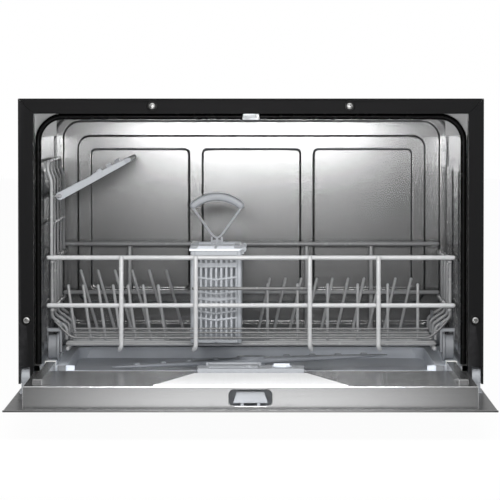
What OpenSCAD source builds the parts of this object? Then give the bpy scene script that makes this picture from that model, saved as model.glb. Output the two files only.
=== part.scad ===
// Compact dishwasher with a drop-down door, drawn with the door lying open.
// x is to the right, y runs from the trim's face to the back, z is up from the table.
// The door is drawn with u from the hinge axis to its far edge and v up from its sheet.

/* [Case] */
// Width over the front trim
body_w = 595; // [585:1:605]
// Height from the table to the top of the trim
body_h = 410; // [408:1:420]
// Depth from the trim's face to the back of the connectors
body_d = 500; // [496:1:520]
// Width of the black trim bars
trim_bar = 19.4; // [18:0.2:21]
// Thickness of trim, feet pads and other folded sheet
trim_t = 2; // [1.5:0.1:2]
// Thickness of the case panels and of the tub sheet
sheet_t = 1; // [0.8:0.1:1.2]
// How far the connectors stand out of the rear panel
connector_reach = 11.7; // [11:0.1:13]

/* [Tub] */
// How far the tub's sides stand inside the opening in the trim
tub_step = 6.6; // [6:0.1:8]
// How far the tub's roof hangs below the opening in the trim
roof_drop = 4.6; // [4:0.1:6.6]
// Radius of the tub's upper corners
tub_r = 28; // [22:1:32]
// Room behind the rear wall for pumps and valves
back_room = 70; // [66:1:74]
// Top of the tracks that the wheels run on
track_z = 72; // [71.5:0.1:72.5]
// Floor of the plastic basin
basin_z = 46; // [44:0.5:47]

/* [Door] */
// Height of the hinge axis
hinge_z = 51.7; // [51:0.1:53]
// Distance from the hinge axis to the inside of the door's outer sheet
hinge_r = 15.3; // [15:0.1:16]
// Gap between the trim's face and the shut door's outer sheet
door_gap = 2; // [1.9:0.1:2.5]
// Thickness of the door up to the face of its liner
door_t = 28.4; // [27:0.2:29]
// Gap between the door's liner and the opening in the trim on each side
liner_gap = 4.1; // [3.1:0.1:6]
// Margin of bare sheet beyond the liner's far edge
liner_margin = 22.8; // [21.8:0.1:26]
// Length of sheet below the hinge when the door is shut
door_tail = 32; // [26:1:34]

/* [Basket] */
// Thickness of the basket's rails and posts
rail_d = 5.4; // [4.8:0.2:6]
// Thickness of the basket's floor and side wires
wire_d = 4.6; // [4:0.2:5]
// Thickness of the plate tines
tine_d = 4.2; // [3.4:0.2:4.6]
// Depth of the basket's front posts behind the trim's face
basket_front_y = 57; // [55:0.5:60]
// Gap between the basket's rear rails and the rear wall
basket_gap = 25; // [22:1:35]
// Height of the top rail
rail_z = 204.4; // [200:0.2:208]
// Height of the floor wires
floor_z = 90; // [89:0.2:91]
// Radius of the wheel treads
wheel_r = 16; // [15:0.2:16.5]
// Radius of the wheel axles
axle_r = 3; // [2.4:0.1:3.4]

/* [Inserts] */
// Width of the cutlery basket
cutlery_w = 66; // [60:1:70]
// Length of the cutlery basket, front to back
cutlery_l = 250; // [220:5:260]
// Height of the cutlery basket's body
cutlery_h = 119; // [100:1:122]
// Distance from the cup shelf's pivot to its edge
shelf_reach = 108.5; // [100:0.5:110]
// Length of the cup shelf, front to back
shelf_l = 240; // [200:5:260]
// Tilt of the cup shelf above level
shelf_tilt = 27.6; // [20:0.2:30]
// Gap between the spray arm's tips and the front and back of the tub
arm_gap = 11.5; // [11.5:0.5:30]
// Angle of the parked spray arm across the tub
arm_park = 16; // [0:1:30]

/* [Fits] */
// Clearance between pieces that lie against each other
seat = 0.3; // [0.25:0.05:0.35]
// Radial clearance of pins and shafts that turn in a bore
running = 0.05; // [0.03:0.01:0.09]
// Radial clearance of a screw or peg in its hole
loose = 0.15; // [0.1:0.05:0.25]

/* [Hidden] */

half_w = body_w / 2;
open_half = half_w - trim_bar;
open_top = body_h - trim_bar;
tub_half = open_half - tub_step;
roof_z = open_top - roof_drop;
tub_back_y = body_d - back_room;
basket_back_y = tub_back_y - basket_gap;
panel_back_y = body_d - connector_reach;
hinge_y = hinge_r - door_gap;
skin_z = hinge_z - hinge_r;
skin_far = body_h - hinge_z;
door_reach = skin_far - hinge_y;
liner_far = skin_far - liner_margin;
liner_half = open_half - liner_gap;
centre_y = (body_d - door_reach) / 2;

// front trim
trim_return = 14;
leg_z = hinge_z - 6.9;
slot_in = half_w - 15;
slot_out = half_w - 3;
slot_top = hinge_z + 14.8;
screw_top_x = 126;
screw_top_z = body_h - trim_bar / 2;
screw_side_x = half_w - 10.6;
screw_side_z = 126.5;
screw_r = 1.9;
screw_head_r = 4;
screw_seat_r = 7;
seat_t = 0.5;

// case and tub
case_half = half_w - trim_t - seat;
case_top = body_h - trim_t - seat;
pan_z = 8;
pan_front_y = 54;
pan_side = 30;
flange_y = 12;
mouth_y = 39;
mouth_half = open_half + seat;
mouth_top = open_top + seat;
seal_t = 12.3;
seal_half = tub_half - 2.3;
seal_out = open_half - 2;
seal_top = roof_z - 3.2;
seal_r = 28;
basin_half = tub_half - 33.5;
lip_y = 27;
ledge_z = track_z - 6;
lip_z = ledge_z - 6;
track_in = tub_half - 20.3;
track_out = tub_half - 8.7;
track_near = lip_y + 19;
hub_y = (lip_y + tub_back_y) / 2;
emboss = 4;
outer_field = [tub_half - 12, roof_z - 8.2, 25];
inner_field = [tub_half - 32.3, roof_z - 28.6, 17];
pad_top = roof_z - 47;
pad_bottom = 146.5;
pad_w = 135;
pad_gap = 18.5;
pad_r = 6.5;
field_bottom = 100;

// feet, connectors and pumps
foot_x = [45 - case_half, case_half - 45];
foot_y = [pan_front_y + 76, body_d - 52];
foot_r = 17;
foot_neck_r = 9;
foot_stem_r = 4;
valve_x = -236;
drain_x = -176;
connector_z = 46;
thread_r = 13.2;
thread_wall = 3.2;
spigot_r = 9.5;
spigot_wall = 2;
shoulder_r = 1.4;
shoulder_out = 1.7;
inlet_x = 226;
inlet_w = 28;
inlet_h = 20;
pump_x = 62;
pump_r = 24;
motor_r = 21;
pump_z = pan_z + trim_t + seat + pump_r;
pump_y = (tub_back_y + emboss + sheet_t + panel_back_y) / 2 - 1;
pipe_r = 11;
chamber_z = [110, case_top - 77.7];
chamber_y = [90, tub_back_y - 60];
module_x = [120, 255];
module_z = [150, 260];
module_y = tub_back_y + 12;
module_t = 30;
louvre_z = case_top - 107.7;
spring_x = case_half - 15;
spring_y = [80, 230];
spring_r = 6;

// filter, softener and spray arm
filter_p = [78, 150];
filter_r = 31;
filter_half = 62;
salt_p = [-112, 140];
salt_r = 28;
riser_r = 12;
arm_z = basin_z + 4;
arm_r = (tub_back_y - lip_y) / 2 - arm_gap;
hub_r = 20;
hub_h = 16;
nozzle_x = [50, 86, 122, 158];

// door
liner_low = 0.5;
latch_w = 52;
latch_h = 20;
latch_v = 15;
latch_depth = 24;
catch_half = latch_h / 2 - 3;
striker_w = 21;
disp_w = 134;
disp_near = 46;
disp_far = 109;
disp_rise = 6.2;
lid_x = -22;
lid_w = 62;
cap_x = 39;
cap_u = (disp_near + disp_far) / 2 + 0.5;
cap_r = 12.5;
ramp_near = disp_far + 0.6;
ramp_far = liner_far - 13.5;
grip = [150, 34, 17];
strip = [500, 30];
strip_u = skin_far - 43.3;
grip_u = strip_u - 43;
button_r = 7;
button_x = [-214, -180, 214];
runner_near = -8;
runner_far = seal_top - seal_r - hinge_z - 1
    + sqrt(pow(seal_r, 2) - pow(track_out + 1 - seal_half + seal_r, 2));
knuckle_r = hinge_r - 1.3;
arm_in = slot_in + 0.5;
arm_out = slot_out - 0.5;
foot_u = 60;
pin_r = 4;

// basket
bead = 1.04;
weld = 0.6;
rail_half = tub_half - 7;
side_x = tub_half - 13.5;
bend_z = 123;
toe_x = tub_half - 29.5;
tie_x = tub_half - 41.5;
toe_z = 110;
mid_rail_z = 142.6;
short_rail_z = 164.5;
low_rail_z = [100.7, 107.4, 112.3];
post_x = [-167.5, -71.3, 76, 164.7];
run_z = floor_z - wire_d / 2 - rail_d / 2 + weld;
u_near = basket_front_y + 80;
u_far = basket_back_y - 35;
u_wire_y = [for (i = [0 : 3]) u_near + i * (u_far - u_near) / 3];
fork_half = 8;
low_rail_y = basket_front_y - rail_d / 2 + wire_d / 2;
wheel_y = [low_rail_y + wire_d / 2 + seat + fork_half,
           u_wire_y[3] - wire_d / 2 - seat - fork_half];
wheel_z = track_z + seat + wheel_r;
tread_in = track_in - 0.2;
tread_out = track_out - 0.8;
flange_t = 3.4;
flange_r = wheel_r + 2.4;

// tine rows: depth, first tine, room up to the last foot, step, lean to the foot, top
tine_y = [u_wire_y[0] + 39, u_wire_y[2] + 26];
cutlery_x = -45.3;
left_end = cutlery_x - cutlery_w / 2;
left_rows = [[tine_y[0], 0.1 - toe_x, left_end - 20, 19.8, 10.6, 164.5],
             [tine_y[1], 10.6 - toe_x, left_end - 10, 23.2, 25, 177.8]];
right_rows = [[tine_y[0], 21.6, toe_x - 15, 39.7, 0, 165.8],
              [tine_y[1], 25.3, toe_x - 32, 21.3, -17, 167]];

// rack and shelf
rack_near = basket_front_y + 8;
rack_far = basket_back_y - 8;
rack_x = side_x;
rack_z = [247, 328];
rack_wires = 6;
pivot_z = 283;
pivot_r = 3;
barrel_r = 6.5;
pivot_x = -rack_x + rail_d / 2 + seat + barrel_r;
shelf_near_y = 92;

// cutlery basket
cutlery_near_y = basket_front_y + 24;
cutlery_z = floor_z + wire_d / 2 + seat;
handle_z = cutlery_z + cutlery_h + 72.4;
handle_y = cutlery_near_y + cutlery_l / 2;
lid_l = cutlery_l / 2 - 8;
lid_from = [cutlery_near_y, cutlery_near_y + cutlery_l - lid_l];
lid_hinge_l = 30;
lid_pin_r = 1.1;
lid_axis_x = cutlery_x + cutlery_w / 2 + 3.4;
lid_axis_z = cutlery_z + cutlery_h + seat + 1.6;

// colours
black = [0.13, 0.13, 0.13];
steel = [0.66, 0.67, 0.68];
satin = [0.56, 0.57, 0.58];
zinc = [0.72, 0.73, 0.74];
rubber_black = [0.05, 0.05, 0.05];
basin_grey = [0.46, 0.49, 0.53];
pale_grey = [0.66, 0.68, 0.70];
wire_grey = [0.64, 0.65, 0.66];
dark_grey = [0.25, 0.26, 0.28];
off_white = [0.84, 0.84, 0.82];
glass_black = [0.04, 0.04, 0.05];

// ---- shared shapes ----

// Everything is drawn in machine coordinates and moved so that y is centred.
module machine() translate([0, -centre_y, 0]) children();

// Door coordinates: x, u from the hinge axis to the far edge, v above the sheet.
module door() machine() translate([0, hinge_y, skin_z]) mirror([0, 1, 0]) children();

module block(low, high) translate(low) cube(high - low);

module both_sides() {
    children();
    mirror([1, 0, 0]) children();
}

// A cylinder along x, y or z from a start point.
module along_x(p, len, r) translate(p) rotate([0, 90, 0]) cylinder(h = len, r = r, $fn = 48);
module along_y(p, len, r) translate(p) rotate([-90, 0, 0]) cylinder(h = len, r = r, $fn = 48);
module along_z(p, len, r) translate(p) cylinder(h = len, r = r, $fn = 48);

// A straight wire between two points.
module rod(a, b, d) {
    run = b - a;
    len = norm(run);
    translate(a) rotate([0, acos(run[2] / len), atan2(run[1], run[0])])
        cylinder(h = len, d = d, $fn = 32);
}

// A wire bent at each point of a list, with a full bead of coating at each bend.
module wire(points, d) {
    for (i = [0 : len(points) - 2]) rod(points[i], points[i + 1], d);
    if (len(points) > 2) for (i = [1 : len(points) - 2]) translate(points[i]) sphere(d = d * bead, $fn = 24);
}

// A rectangle centred on x with its foot at z = low and all four corners round.
module pane(half, low, top, r) {
    translate([-half, low + r]) square([2 * half, top - low - 2 * r]);
    translate([-half + r, low]) square([2 * half - 2 * r, top - low]);
    for (x = [-half + r, half - r]) for (z = [low + r, top - r]) translate([x, z]) circle(r, $fn = 64);
}

// The same with square lower corners, as a doorway.
module doorway(half, low, top, r) {
    translate([-half, low]) square([2 * half, top - low - r]);
    translate([-half + r, low]) square([2 * half - 2 * r, top - low]);
    for (x = [-half + r, half - r]) translate([x, top - r]) circle(r, $fn = 64);
}

// Raises a drawing in x and z along y.
module upright(y, depth) translate([0, y + depth, 0]) rotate([90, 0, 0]) linear_extrude(depth) children();

// Raises a drawing in y and z along x.
module upright_x(x, len) translate([x, 0, 0]) rotate([90, 0, 90]) linear_extrude(len) children();

// A raised rail for the wheels on one side.
module track(side, near, far, low) {
    middle = side * (track_in + track_out) / 2;
    half = (track_out - track_in) / 2;
    block([middle - half, near, low], [middle + half, far, track_z]);
}

// ---- front trim ----

module trim_screw_hole(x, z) along_y([x, -1, z], trim_t + 2, screw_r + loose);

module screw_seat(x, z) along_y([x, -seat_t, z], seat_t, screw_seat_r);

module trim_top() machine() color(black) {
    gap = seat / 2;
    difference() {
        union() {
            upright(0, trim_t) polygon([
                [-half_w + gap, body_h], [half_w - gap, body_h],
                [open_half - gap, open_top], [-open_half + gap, open_top]
            ]);
            block([-half_w + trim_t + gap, trim_t, body_h - trim_t],
                  [half_w - trim_t - gap, trim_return, body_h]);
            for (x = [-screw_top_x, screw_top_x]) screw_seat(x, screw_top_z);
        }
        for (x = [-screw_top_x, screw_top_x]) trim_screw_hole(x, screw_top_z);
    }
}

module trim_side() color(black) {
    gap = seat / 2;
    difference() {
        union() {
            upright(0, trim_t) polygon([
                [-half_w, leg_z], [-half_w, body_h - gap],
                [-open_half, open_top - gap], [-open_half, leg_z]
            ]);
            block([-half_w, trim_t, leg_z], [-half_w + trim_t, trim_return, body_h - trim_t]);
            screw_seat(-screw_side_x, screw_side_z);
        }
        trim_screw_hole(-screw_side_x, screw_side_z);
        block([-slot_out, -1, leg_z - 1], [-slot_in, trim_t + 1, slot_top]);
    }
}

module trim_left() machine() trim_side();
module trim_right() machine() mirror([1, 0, 0]) trim_side();

module frame_screw(x, z) {
    difference() {
        along_y([x, -seat_t - 1.2, z], 1.2, screw_head_r);
        for (turn = [0, 90]) translate([x, -seat_t - 1, z]) rotate([0, turn, 0])
            cube([4.4, 1, 0.9], center = true);
    }
    along_y([x, -seat_t, z], flange_y + 6, screw_r);
}

module frame_screws() machine() color(zinc) {
    for (x = [-screw_top_x, screw_top_x]) frame_screw(x, screw_top_z);
    for (x = [-screw_side_x, screw_side_x]) frame_screw(x, screw_side_z);
}

// ---- case ----

module side_panel() color(zinc) {
    near = trim_return + seat;
    tail_y = pan_front_y - 2;
    difference() {
        block([-case_half, near, pan_z + 4], [-case_half + sheet_t, panel_back_y, case_top]);
        block([-half_w, 0, 0], [0, tail_y, leg_z]);
    }
}

module side_panel_left() machine() side_panel();
module side_panel_right() machine() mirror([1, 0, 0]) side_panel();

module top_panel() machine() color(zinc) {
    inner = case_half - sheet_t - seat;
    near = trim_return + seat;
    block([-inner, near, case_top - sheet_t], [inner, panel_back_y, case_top]);
    both_sides() block([inner - sheet_t, near, case_top - 12],
                       [inner, panel_back_y - 20, case_top - sheet_t / 2]);
}

module rear_panel() machine() color(zinc) {
    inner = case_half - sheet_t - seat;
    top = case_top - sheet_t - seat;
    difference() {
        block([-inner, panel_back_y - sheet_t, pan_z + 4], [inner, panel_back_y, top]);
        along_y([valve_x, panel_back_y - 5, connector_z], 10, thread_r + shoulder_r + seat);
        along_y([drain_x, panel_back_y - 5, connector_z], 10, spigot_r + shoulder_r + seat);
        block([inlet_x - inlet_w / 2 - seat, panel_back_y - 5, connector_z - inlet_h / 2 - seat],
              [inlet_x + inlet_w / 2 + seat, panel_back_y + 5, connector_z + inlet_h / 2 + seat]);
        for (i = [0 : 9]) for (x = [-1, 1])
            block([x * 110 - 30, panel_back_y - 5, louvre_z + i * 7],
                  [x * 110 + 30, panel_back_y + 5, louvre_z + 3 + i * 7]);
    }
}

module base_pan() machine() color(black) {
    half = case_half - sheet_t - seat;
    back = panel_back_y - sheet_t - seat;
    difference() {
        block([-half, pan_front_y, pan_z], [half, back, pan_side]);
        block([-half + trim_t, pan_front_y + trim_t, pan_z + trim_t], [half - trim_t, back - trim_t,
              pan_side + 1]);
        for (x = foot_x) for (y = foot_y) along_z([x, y, pan_z - 1], 5, foot_stem_r + loose);
    }
    // the plinth wall in front
    block([-half, pan_front_y, pan_side], [half, pan_front_y + trim_t, leg_z - 2]);
}

module feet() machine() color(dark_grey) for (x = foot_x) for (y = foot_y) {
    along_z([x, y, 0], 3, foot_r);
    translate([x, y, 3]) cylinder(h = 3, r1 = foot_r, r2 = foot_neck_r + 1, $fn = 48);
    along_z([x, y, 6], pan_z - 6 - seat, foot_neck_r);
    along_z([x, y, 6], 8, foot_stem_r);
}

// ---- tub ----

module tub_wrapper() machine() color(steel) difference() {
    union() {
        upright(mouth_y + sheet_t, tub_back_y - seat - mouth_y - sheet_t)
            doorway(tub_half + sheet_t, ledge_z - 4, roof_z + sheet_t, tub_r + sheet_t);
        upright(mouth_y, sheet_t)
            doorway(mouth_half + sheet_t, ledge_z, mouth_top + sheet_t, 3);
        upright(flange_y, mouth_y - flange_y + sheet_t)
            doorway(mouth_half + sheet_t, ledge_z, mouth_top + sheet_t, 3);
        upright(flange_y, sheet_t)
            doorway(case_half - sheet_t - seat, ledge_z, case_top - sheet_t - seat, 6);
    }
    upright(flange_y - 1, mouth_y - flange_y + 1) doorway(mouth_half, 0, mouth_top, 2);
    upright(mouth_y - 1, tub_back_y) doorway(tub_half, 0, roof_z, tub_r);
    for (x = [-screw_top_x, screw_top_x]) along_y([x, flange_y - 1, screw_top_z], 3, screw_r + loose);
    for (x = [-screw_side_x, screw_side_x])
        along_y([x, flange_y - 1, screw_side_z], 3, screw_r + loose);
}

module pads() for (i = [-1, 0, 1]) translate([i * (pad_w + pad_gap), 0])
    pane(pad_w / 2, pad_bottom, pad_top, pad_r);

module field(size, grow) pane(size[0] + grow, field_bottom - grow, size[1] + grow, size[2] + grow);

// The rear wall steps back into a field, forward again, and back once more in three pads.
module tub_rear_wall() machine() color(steel) {
    back = tub_back_y;
    t = sheet_t;
    upright(back, t) difference() {
        doorway(tub_half + t, ledge_z - 4, roof_z + t, tub_r + t);
        field(outer_field, 0);
    }
    upright(back, emboss + t) difference() {
        field(outer_field, t);
        field(outer_field, 0);
    }
    upright(back + emboss, t) difference() {
        field(outer_field, t);
        field(inner_field, 0);
    }
    upright(back + t, emboss) difference() {
        field(inner_field, t);
        field(inner_field, 0);
    }
    upright(back + t, t) difference() {
        field(inner_field, t);
        pads();
    }
    upright(back + t, emboss) difference() {
        offset_pads(t);
        pads();
    }
    upright(back + emboss, t) offset_pads(t);
}

module offset_pads(grow) for (i = [-1, 0, 1]) translate([i * (pad_w + pad_gap), 0])
    pane(pad_w / 2 + grow, pad_bottom - grow, pad_top + grow, pad_r + grow);

module tub_base() machine() color(basin_grey) {
    // tracks clipped on the ledges
    for (x = [-1, 1]) track(x, track_near, tub_back_y - 6, ledge_z + seat);
    basin_moulding();
}

// The basin with its rim and ledges.
module basin_moulding() difference() {
    out = tub_half - seat;
    track_x = (track_in + track_out) / 2;
    wall = 3;
    low = basin_z - wall;
    block([-out, lip_y, low], [out, tub_back_y - seat, ledge_z]);
    // notches for the ends of the door's runners
    both_sides() block([track_x - 8, lip_y - 1, low - 1], [track_x + 8, lip_y + 8.5, ledge_z + 1]);
    // the lowered front lip
    block([-basin_half, lip_y - 1, lip_z], [basin_half, lip_y + 12, ledge_z + 1]);
    // basin with sloping back
    intersection() {
        upright_x(-basin_half, 2 * basin_half) polygon([
            [lip_y + 5, ledge_z + 1], [lip_y + 5, lip_z], [lip_y + 11, basin_z],
            [tub_back_y - 100, basin_z], [tub_back_y - 10, basin_z + 5], [tub_back_y - 6, ledge_z - 4],
            [tub_back_y - 4, ledge_z + 1]
        ]);
        translate([0, 0, basin_z]) linear_extrude(40)
            pane(basin_half, lip_y + 5, tub_back_y - 3, 30);
    }
    // hollows under the side ledges
    both_sides() block([track_x - 13, track_near - 4, low - 1],
                       [track_x + 11, tub_back_y - 8, ledge_z - wall]);
    along_z([filter_p[0], filter_p[1], low - 1], 10, filter_r + 2);
    along_z([salt_p[0], salt_p[1], low - 1], 10, salt_r - 4);
    along_z([0, hub_y, low - 1], 10, riser_r + 2);
}

module door_seal() machine() color(rubber_black) upright(mouth_y - seal_t, seal_t - seat) difference() {
    doorway(seal_out, ledge_z + 2, open_top - 1, seal_r + 6);
    doorway(seal_half, ledge_z, seal_top, seal_r);
    // gap for the striker
    translate([-striker_w / 2 - seat, seal_top - 1]) square([striker_w + 2 * seat, 20]);
}

module door_striker() machine() color(zinc) {
    half = striker_w / 2;
    near = mouth_y - seal_t;
    difference() {
        block([-half, near, seal_top - 0.2], [half, mouth_y - seat, open_top]);
        block([-half + 4, near - 1, seal_top + 2], [half - 4, near + 6, seal_top + 5]);
    }
}

module rail_ends() machine() color(off_white) both_sides() {
    track(1, lip_y + 9, track_near - seat, ledge_z + seat);
    block([track_out - 1, lip_y + 9, ledge_z + seat], [track_out + 3, track_near - 4, track_z]);
}

// ---- water side ----

module sump() machine() color(dark_grey) difference() {
    top = basin_z - 3 - seat;
    low = pan_z + trim_t + seat;
    union() {
        along_z([filter_p[0], filter_p[1], low], top - low, filter_r + 9);
        block([-22, hub_y - 24, low + 2], [filter_p[0], hub_y + 24, top]);
        block([filter_p[0] - 26, filter_p[1], low + 2], [filter_p[0] + 26, hub_y + 24, top]);
        // riser that feeds the spray arm and carries it
        along_z([0, hub_y, top - 1], arm_z + 8.5 - top, riser_r - running);
        along_z([0, hub_y, basin_z + seat], arm_z - seat - basin_z - seat, riser_r + 6);
    }
    along_z([filter_p[0], filter_p[1], low + 3], 40, filter_r + 0.6);
    along_z([0, hub_y, low + 8], 60, riser_r - 4);
}

module fine_filter() machine() color(satin) difference() {
    z = basin_z + 0.2;
    translate([0, 0, z]) linear_extrude(1.2) difference() {
        pane_at(filter_p, filter_half, 12);
        translate(filter_p) circle(filter_r + 0.8, $fn = 64);
    }
    for (i = [0 : 23]) {
        turn = i * 15;
        along_z([filter_p[0] + 44 * cos(turn), filter_p[1] + 44 * sin(turn), z - 1], 4, 2.6);
    }
}

module pane_at(p, half, r) translate([p[0], 0]) pane(half, p[1] - half, p[1] + half, r);

module filter_cylinder() machine() color(dark_grey) translate([filter_p[0], filter_p[1], 0]) {
    z = pan_z + trim_t + seat + 3 + seat;
    difference() {
        translate([0, 0, z]) cylinder(h = basin_z + 2 - z, r = filter_r - 1, $fn = 64);
        translate([0, 0, z + 1.5]) cylinder(h = 60, r = filter_r - 3, $fn = 64);
        for (turn = [0 : 30 : 150]) rotate([0, 0, turn]) translate([0, 0, z + 14])
            cube([100, 6, 16], center = true);
    }
    translate([0, 0, z]) cylinder(h = 1.5, r = filter_r - 1, $fn = 64);
    translate([0, 0, z + (basin_z + 2 - z) / 2]) cube([2 * filter_r - 5, 2.4, basin_z + 2 - z], center = true);
    translate([0, 0, basin_z + 2]) difference() {
        cylinder(h = 2, r = filter_r + 1.5, $fn = 64);
        translate([0, 0, -1]) cylinder(h = 5, r = filter_r - 5, $fn = 64);
    }
    translate([0, 0, basin_z + 4.2]) cube([2 * filter_r - 4, 5, 5], center = true);
}

module salt_cap() machine() color(pale_grey) translate([salt_p[0], salt_p[1], 0]) {
    translate([0, 0, basin_z - 6]) cylinder(h = 6 + seat, r = salt_r - 6, $fn = 64);
    translate([0, 0, basin_z + seat]) cylinder(h = 3, r = salt_r, $fn = 64);
    translate([0, 0, basin_z + 4.5]) cube([salt_r * 1.7, 5, 3.2], center = true);
}

module softener() machine() color(pale_grey) difference() {
    top = basin_z - 3 - seat;
    union() {
        block([salt_p[0] - 78, salt_p[1] - 44, pan_z + trim_t + seat],
              [salt_p[0] + 46, salt_p[1] + 50, top]);
        along_z([salt_p[0], salt_p[1], pan_z + 3], top - pan_z - 3, salt_r + 4);
    }
    along_z([salt_p[0], salt_p[1], pan_z + 6], 60, salt_r - 4.5);
}

module wash_pump() machine() color(dark_grey) {
    y = pump_y;
    along_x([pump_x, y, pump_z], 26, pump_r);
    along_x([pump_x + 26, y, pump_z], 70, motor_r);
    for (i = [0 : 5]) along_x([pump_x + 34 + i * 9, y, pump_z], 4, motor_r + 1.5);
    along_x([pump_x + 96, y, pump_z], 8, 8);
    // delivery and suction pipes to the sump
    difference() {
        along_y([pump_x + 12, hub_y + 24 + seat, pan_z + 20], y - hub_y - 24 - seat, pipe_r);
        along_y([pump_x + 12, hub_y, pan_z + 20], y - hub_y - 20, pipe_r - 2.5);
    }
}

module drain_pump() machine() color(dark_grey) difference() {
    y = panel_back_y - 26;
    union() {
        along_x([drain_x + 46, y, connector_z], 50, 19);
        along_x([drain_x + 16, y, connector_z], 32, 16);
        along_y([drain_x, y - 8, connector_z], panel_back_y - y + 8 + connector_reach, spigot_r);
        along_y([drain_x, y, connector_z], panel_back_y - y + shoulder_out, spigot_r + shoulder_r);
        block([drain_x - 11, y - 12, connector_z - 12], [drain_x + 26, y + 12, connector_z + 12]);
    }
    along_y([drain_x, y, connector_z], 60, spigot_r - spigot_wall);
}

module inlet_valve() machine() color(off_white) difference() {
    y = panel_back_y - 30;
    union() {
        block([valve_x - 16, y - 16, connector_z - 16], [valve_x + 16, panel_back_y - sheet_t - seat,
              connector_z + 16]);
        along_y([valve_x, y, connector_z], panel_back_y - y + connector_reach, thread_r);
        along_y([valve_x, y, connector_z], panel_back_y - y + shoulder_out, thread_r + shoulder_r);
        along_z([valve_x, y, connector_z + 16], 24, 10);
        along_x([valve_x + 16, y, connector_z + 4], 10, 5);
    }
    along_y([valve_x, y + 10, connector_z], 60, thread_r - thread_wall);
}

module inlet_chamber() machine() color(off_white) {
    out = case_half - sheet_t - seat;
    pitch = (chamber_y[1] - chamber_y[0] - 24) / 4;
    difference() {
        block([-out, chamber_y[0], chamber_z[0]], [-tub_half - sheet_t - seat, chamber_y[1], chamber_z[1]]);
        for (i = [0 : 3]) block([-out - 1, chamber_y[0] + 20 + i * pitch, chamber_z[0] + 20],
                                [-out + 3, chamber_y[0] + 4 + (i + 1) * pitch, chamber_z[1] - 20]);
    }
}

module control_module() machine() color(off_white) {
    far = module_y + module_t;
    block([module_x[0], module_y, module_z[0]], [module_x[1], far, module_z[1]]);
    // plug sockets
    for (i = [0 : 3]) block([module_x[0] + 14 + i * 30, module_y + 4, module_z[0] - 8],
                            [module_x[0] + 32 + i * 30, module_y + 18, module_z[0]]);
    // clips that hold it to the rear panel
    for (x = [module_x[0] + 20, module_x[1] - 20]) for (z = [module_z[0] + 16, module_z[1] - 16])
        block([x - 5, far, z - 5], [x + 5, panel_back_y - sheet_t - seat, z + 5]);
}

module power_inlet() machine() color(black) difference() {
    y = panel_back_y - 24;
    w = inlet_w / 2;
    h = inlet_h / 2;
    union() {
        block([inlet_x - w, y, connector_z - h], [inlet_x + w, panel_back_y + 1.5, connector_z + h]);
        block([inlet_x - w - 5, panel_back_y + seat, connector_z - h - 4],
              [inlet_x + w + 5, panel_back_y + 3, connector_z + h + 4]);
    }
    block([inlet_x - w + 2, y + 4, connector_z - h + 2],
          [inlet_x + w - 2, panel_back_y + 10, connector_z + h - 2]);
}

// ---- hinge ----

module hinge_bracket() {
    out = arm_out - running;
    in_x = mouth_half + sheet_t + seat;
    // pin through the arm's knuckle
    along_x([in_x, hinge_y, hinge_z], out - in_x, pin_r);
    // inner cheek and its foot on the case side
    difference() {
        union() {
            along_x([in_x, hinge_y, hinge_z], slot_in - in_x, 10);
            block([in_x, hinge_y, hinge_z - 8], [slot_in, 66, hinge_z + 12]);
            block([in_x, 34, hinge_z - 8], [case_half - sheet_t - seat, 66, hinge_z + 12]);
        }
        block([slot_in, 38, hinge_z - 4], [case_half - sheet_t - seat - 3, 62, hinge_z + 20]);
    }
}

module hinge_brackets() machine() color(zinc) both_sides() hinge_bracket();

module door_springs() machine() color(satin) both_sides() {
    z = pan_side - 8;
    near = spring_y[0];
    far = spring_y[1];
    along_y([spring_x, near + 10, z], far - near - 40, spring_r);
    along_y([spring_x, near, z], far - near, 1.5);
    for (y = spring_y) block([spring_x - 4, y - 2, pan_z + trim_t + seat], [spring_x + 4, y + 2, z + 6]);
}

// ---- door ----

module door_skin() door() color(steel) {
    half = half_w - 0.5;
    difference() {
        block([-half, -door_tail, -sheet_t], [half, skin_far, 0]);
        translate([0, strip_u, -5]) linear_extrude(10) square([strip[0] + 2 * seat, strip[1] + 2 * seat],
            center = true);
        translate([0, grip_u, -5]) linear_extrude(10) square([grip[0] + 2 * seat, grip[1] + 2 * seat],
            center = true);
    }
    // upturned edge, clear of the trim when the door is shut
    block([-half, skin_far - sheet_t, -sheet_t], [half, skin_far, door_gap - 0.5]);
}

module liner_side(grow) polygon([
    [-8.7 + grow, liner_low - (grow > 0 ? 1 : 0)], [-8.7 + grow, 16.5 - grow],
    [60, door_t - grow], [liner_far - grow, door_t - grow],
    [liner_far - grow, liner_low - (grow > 0 ? 1 : 0)]
]);

module door_liner() door() color(steel) {
    t = sheet_t;
    difference() {
        upright_x(-liner_half, 2 * liner_half) liner_side(0);
        upright_x(-liner_half + t, 2 * (liner_half - t)) liner_side(t);
        // latch mouth in the far edge
        translate([0, liner_far - 5, 0]) upright(0, 10)
            pane(latch_w / 2, latch_v - latch_h / 2, latch_v + latch_h / 2, 6);
        // opening for the dispenser
        block([-disp_w / 2 + 4, disp_near + 4, 10], [disp_w / 2 - 4, disp_far - 4, door_t + 1]);
    }
    // runners clipped on top, that the wheels roll on
    for (x = [-1, 1]) upright_x(x * (track_in + track_out) / 2 - (track_out - track_in) / 2,
        track_out - track_in) polygon([
            [runner_near, 17], [runner_near, track_z - skin_z], [runner_far, track_z - skin_z],
            [runner_far, door_t + seat], [60, door_t + seat]
        ]);
    // raised field that slopes up to the dispenser
    translate([0, 0, door_t]) linear_extrude(0.8) polygon([
        [-disp_w / 2 - 5, ramp_near], [disp_w / 2 + 5, ramp_near],
        [disp_w / 2 + 51, ramp_far], [-disp_w / 2 - 51, ramp_far]
    ]);
}

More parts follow.
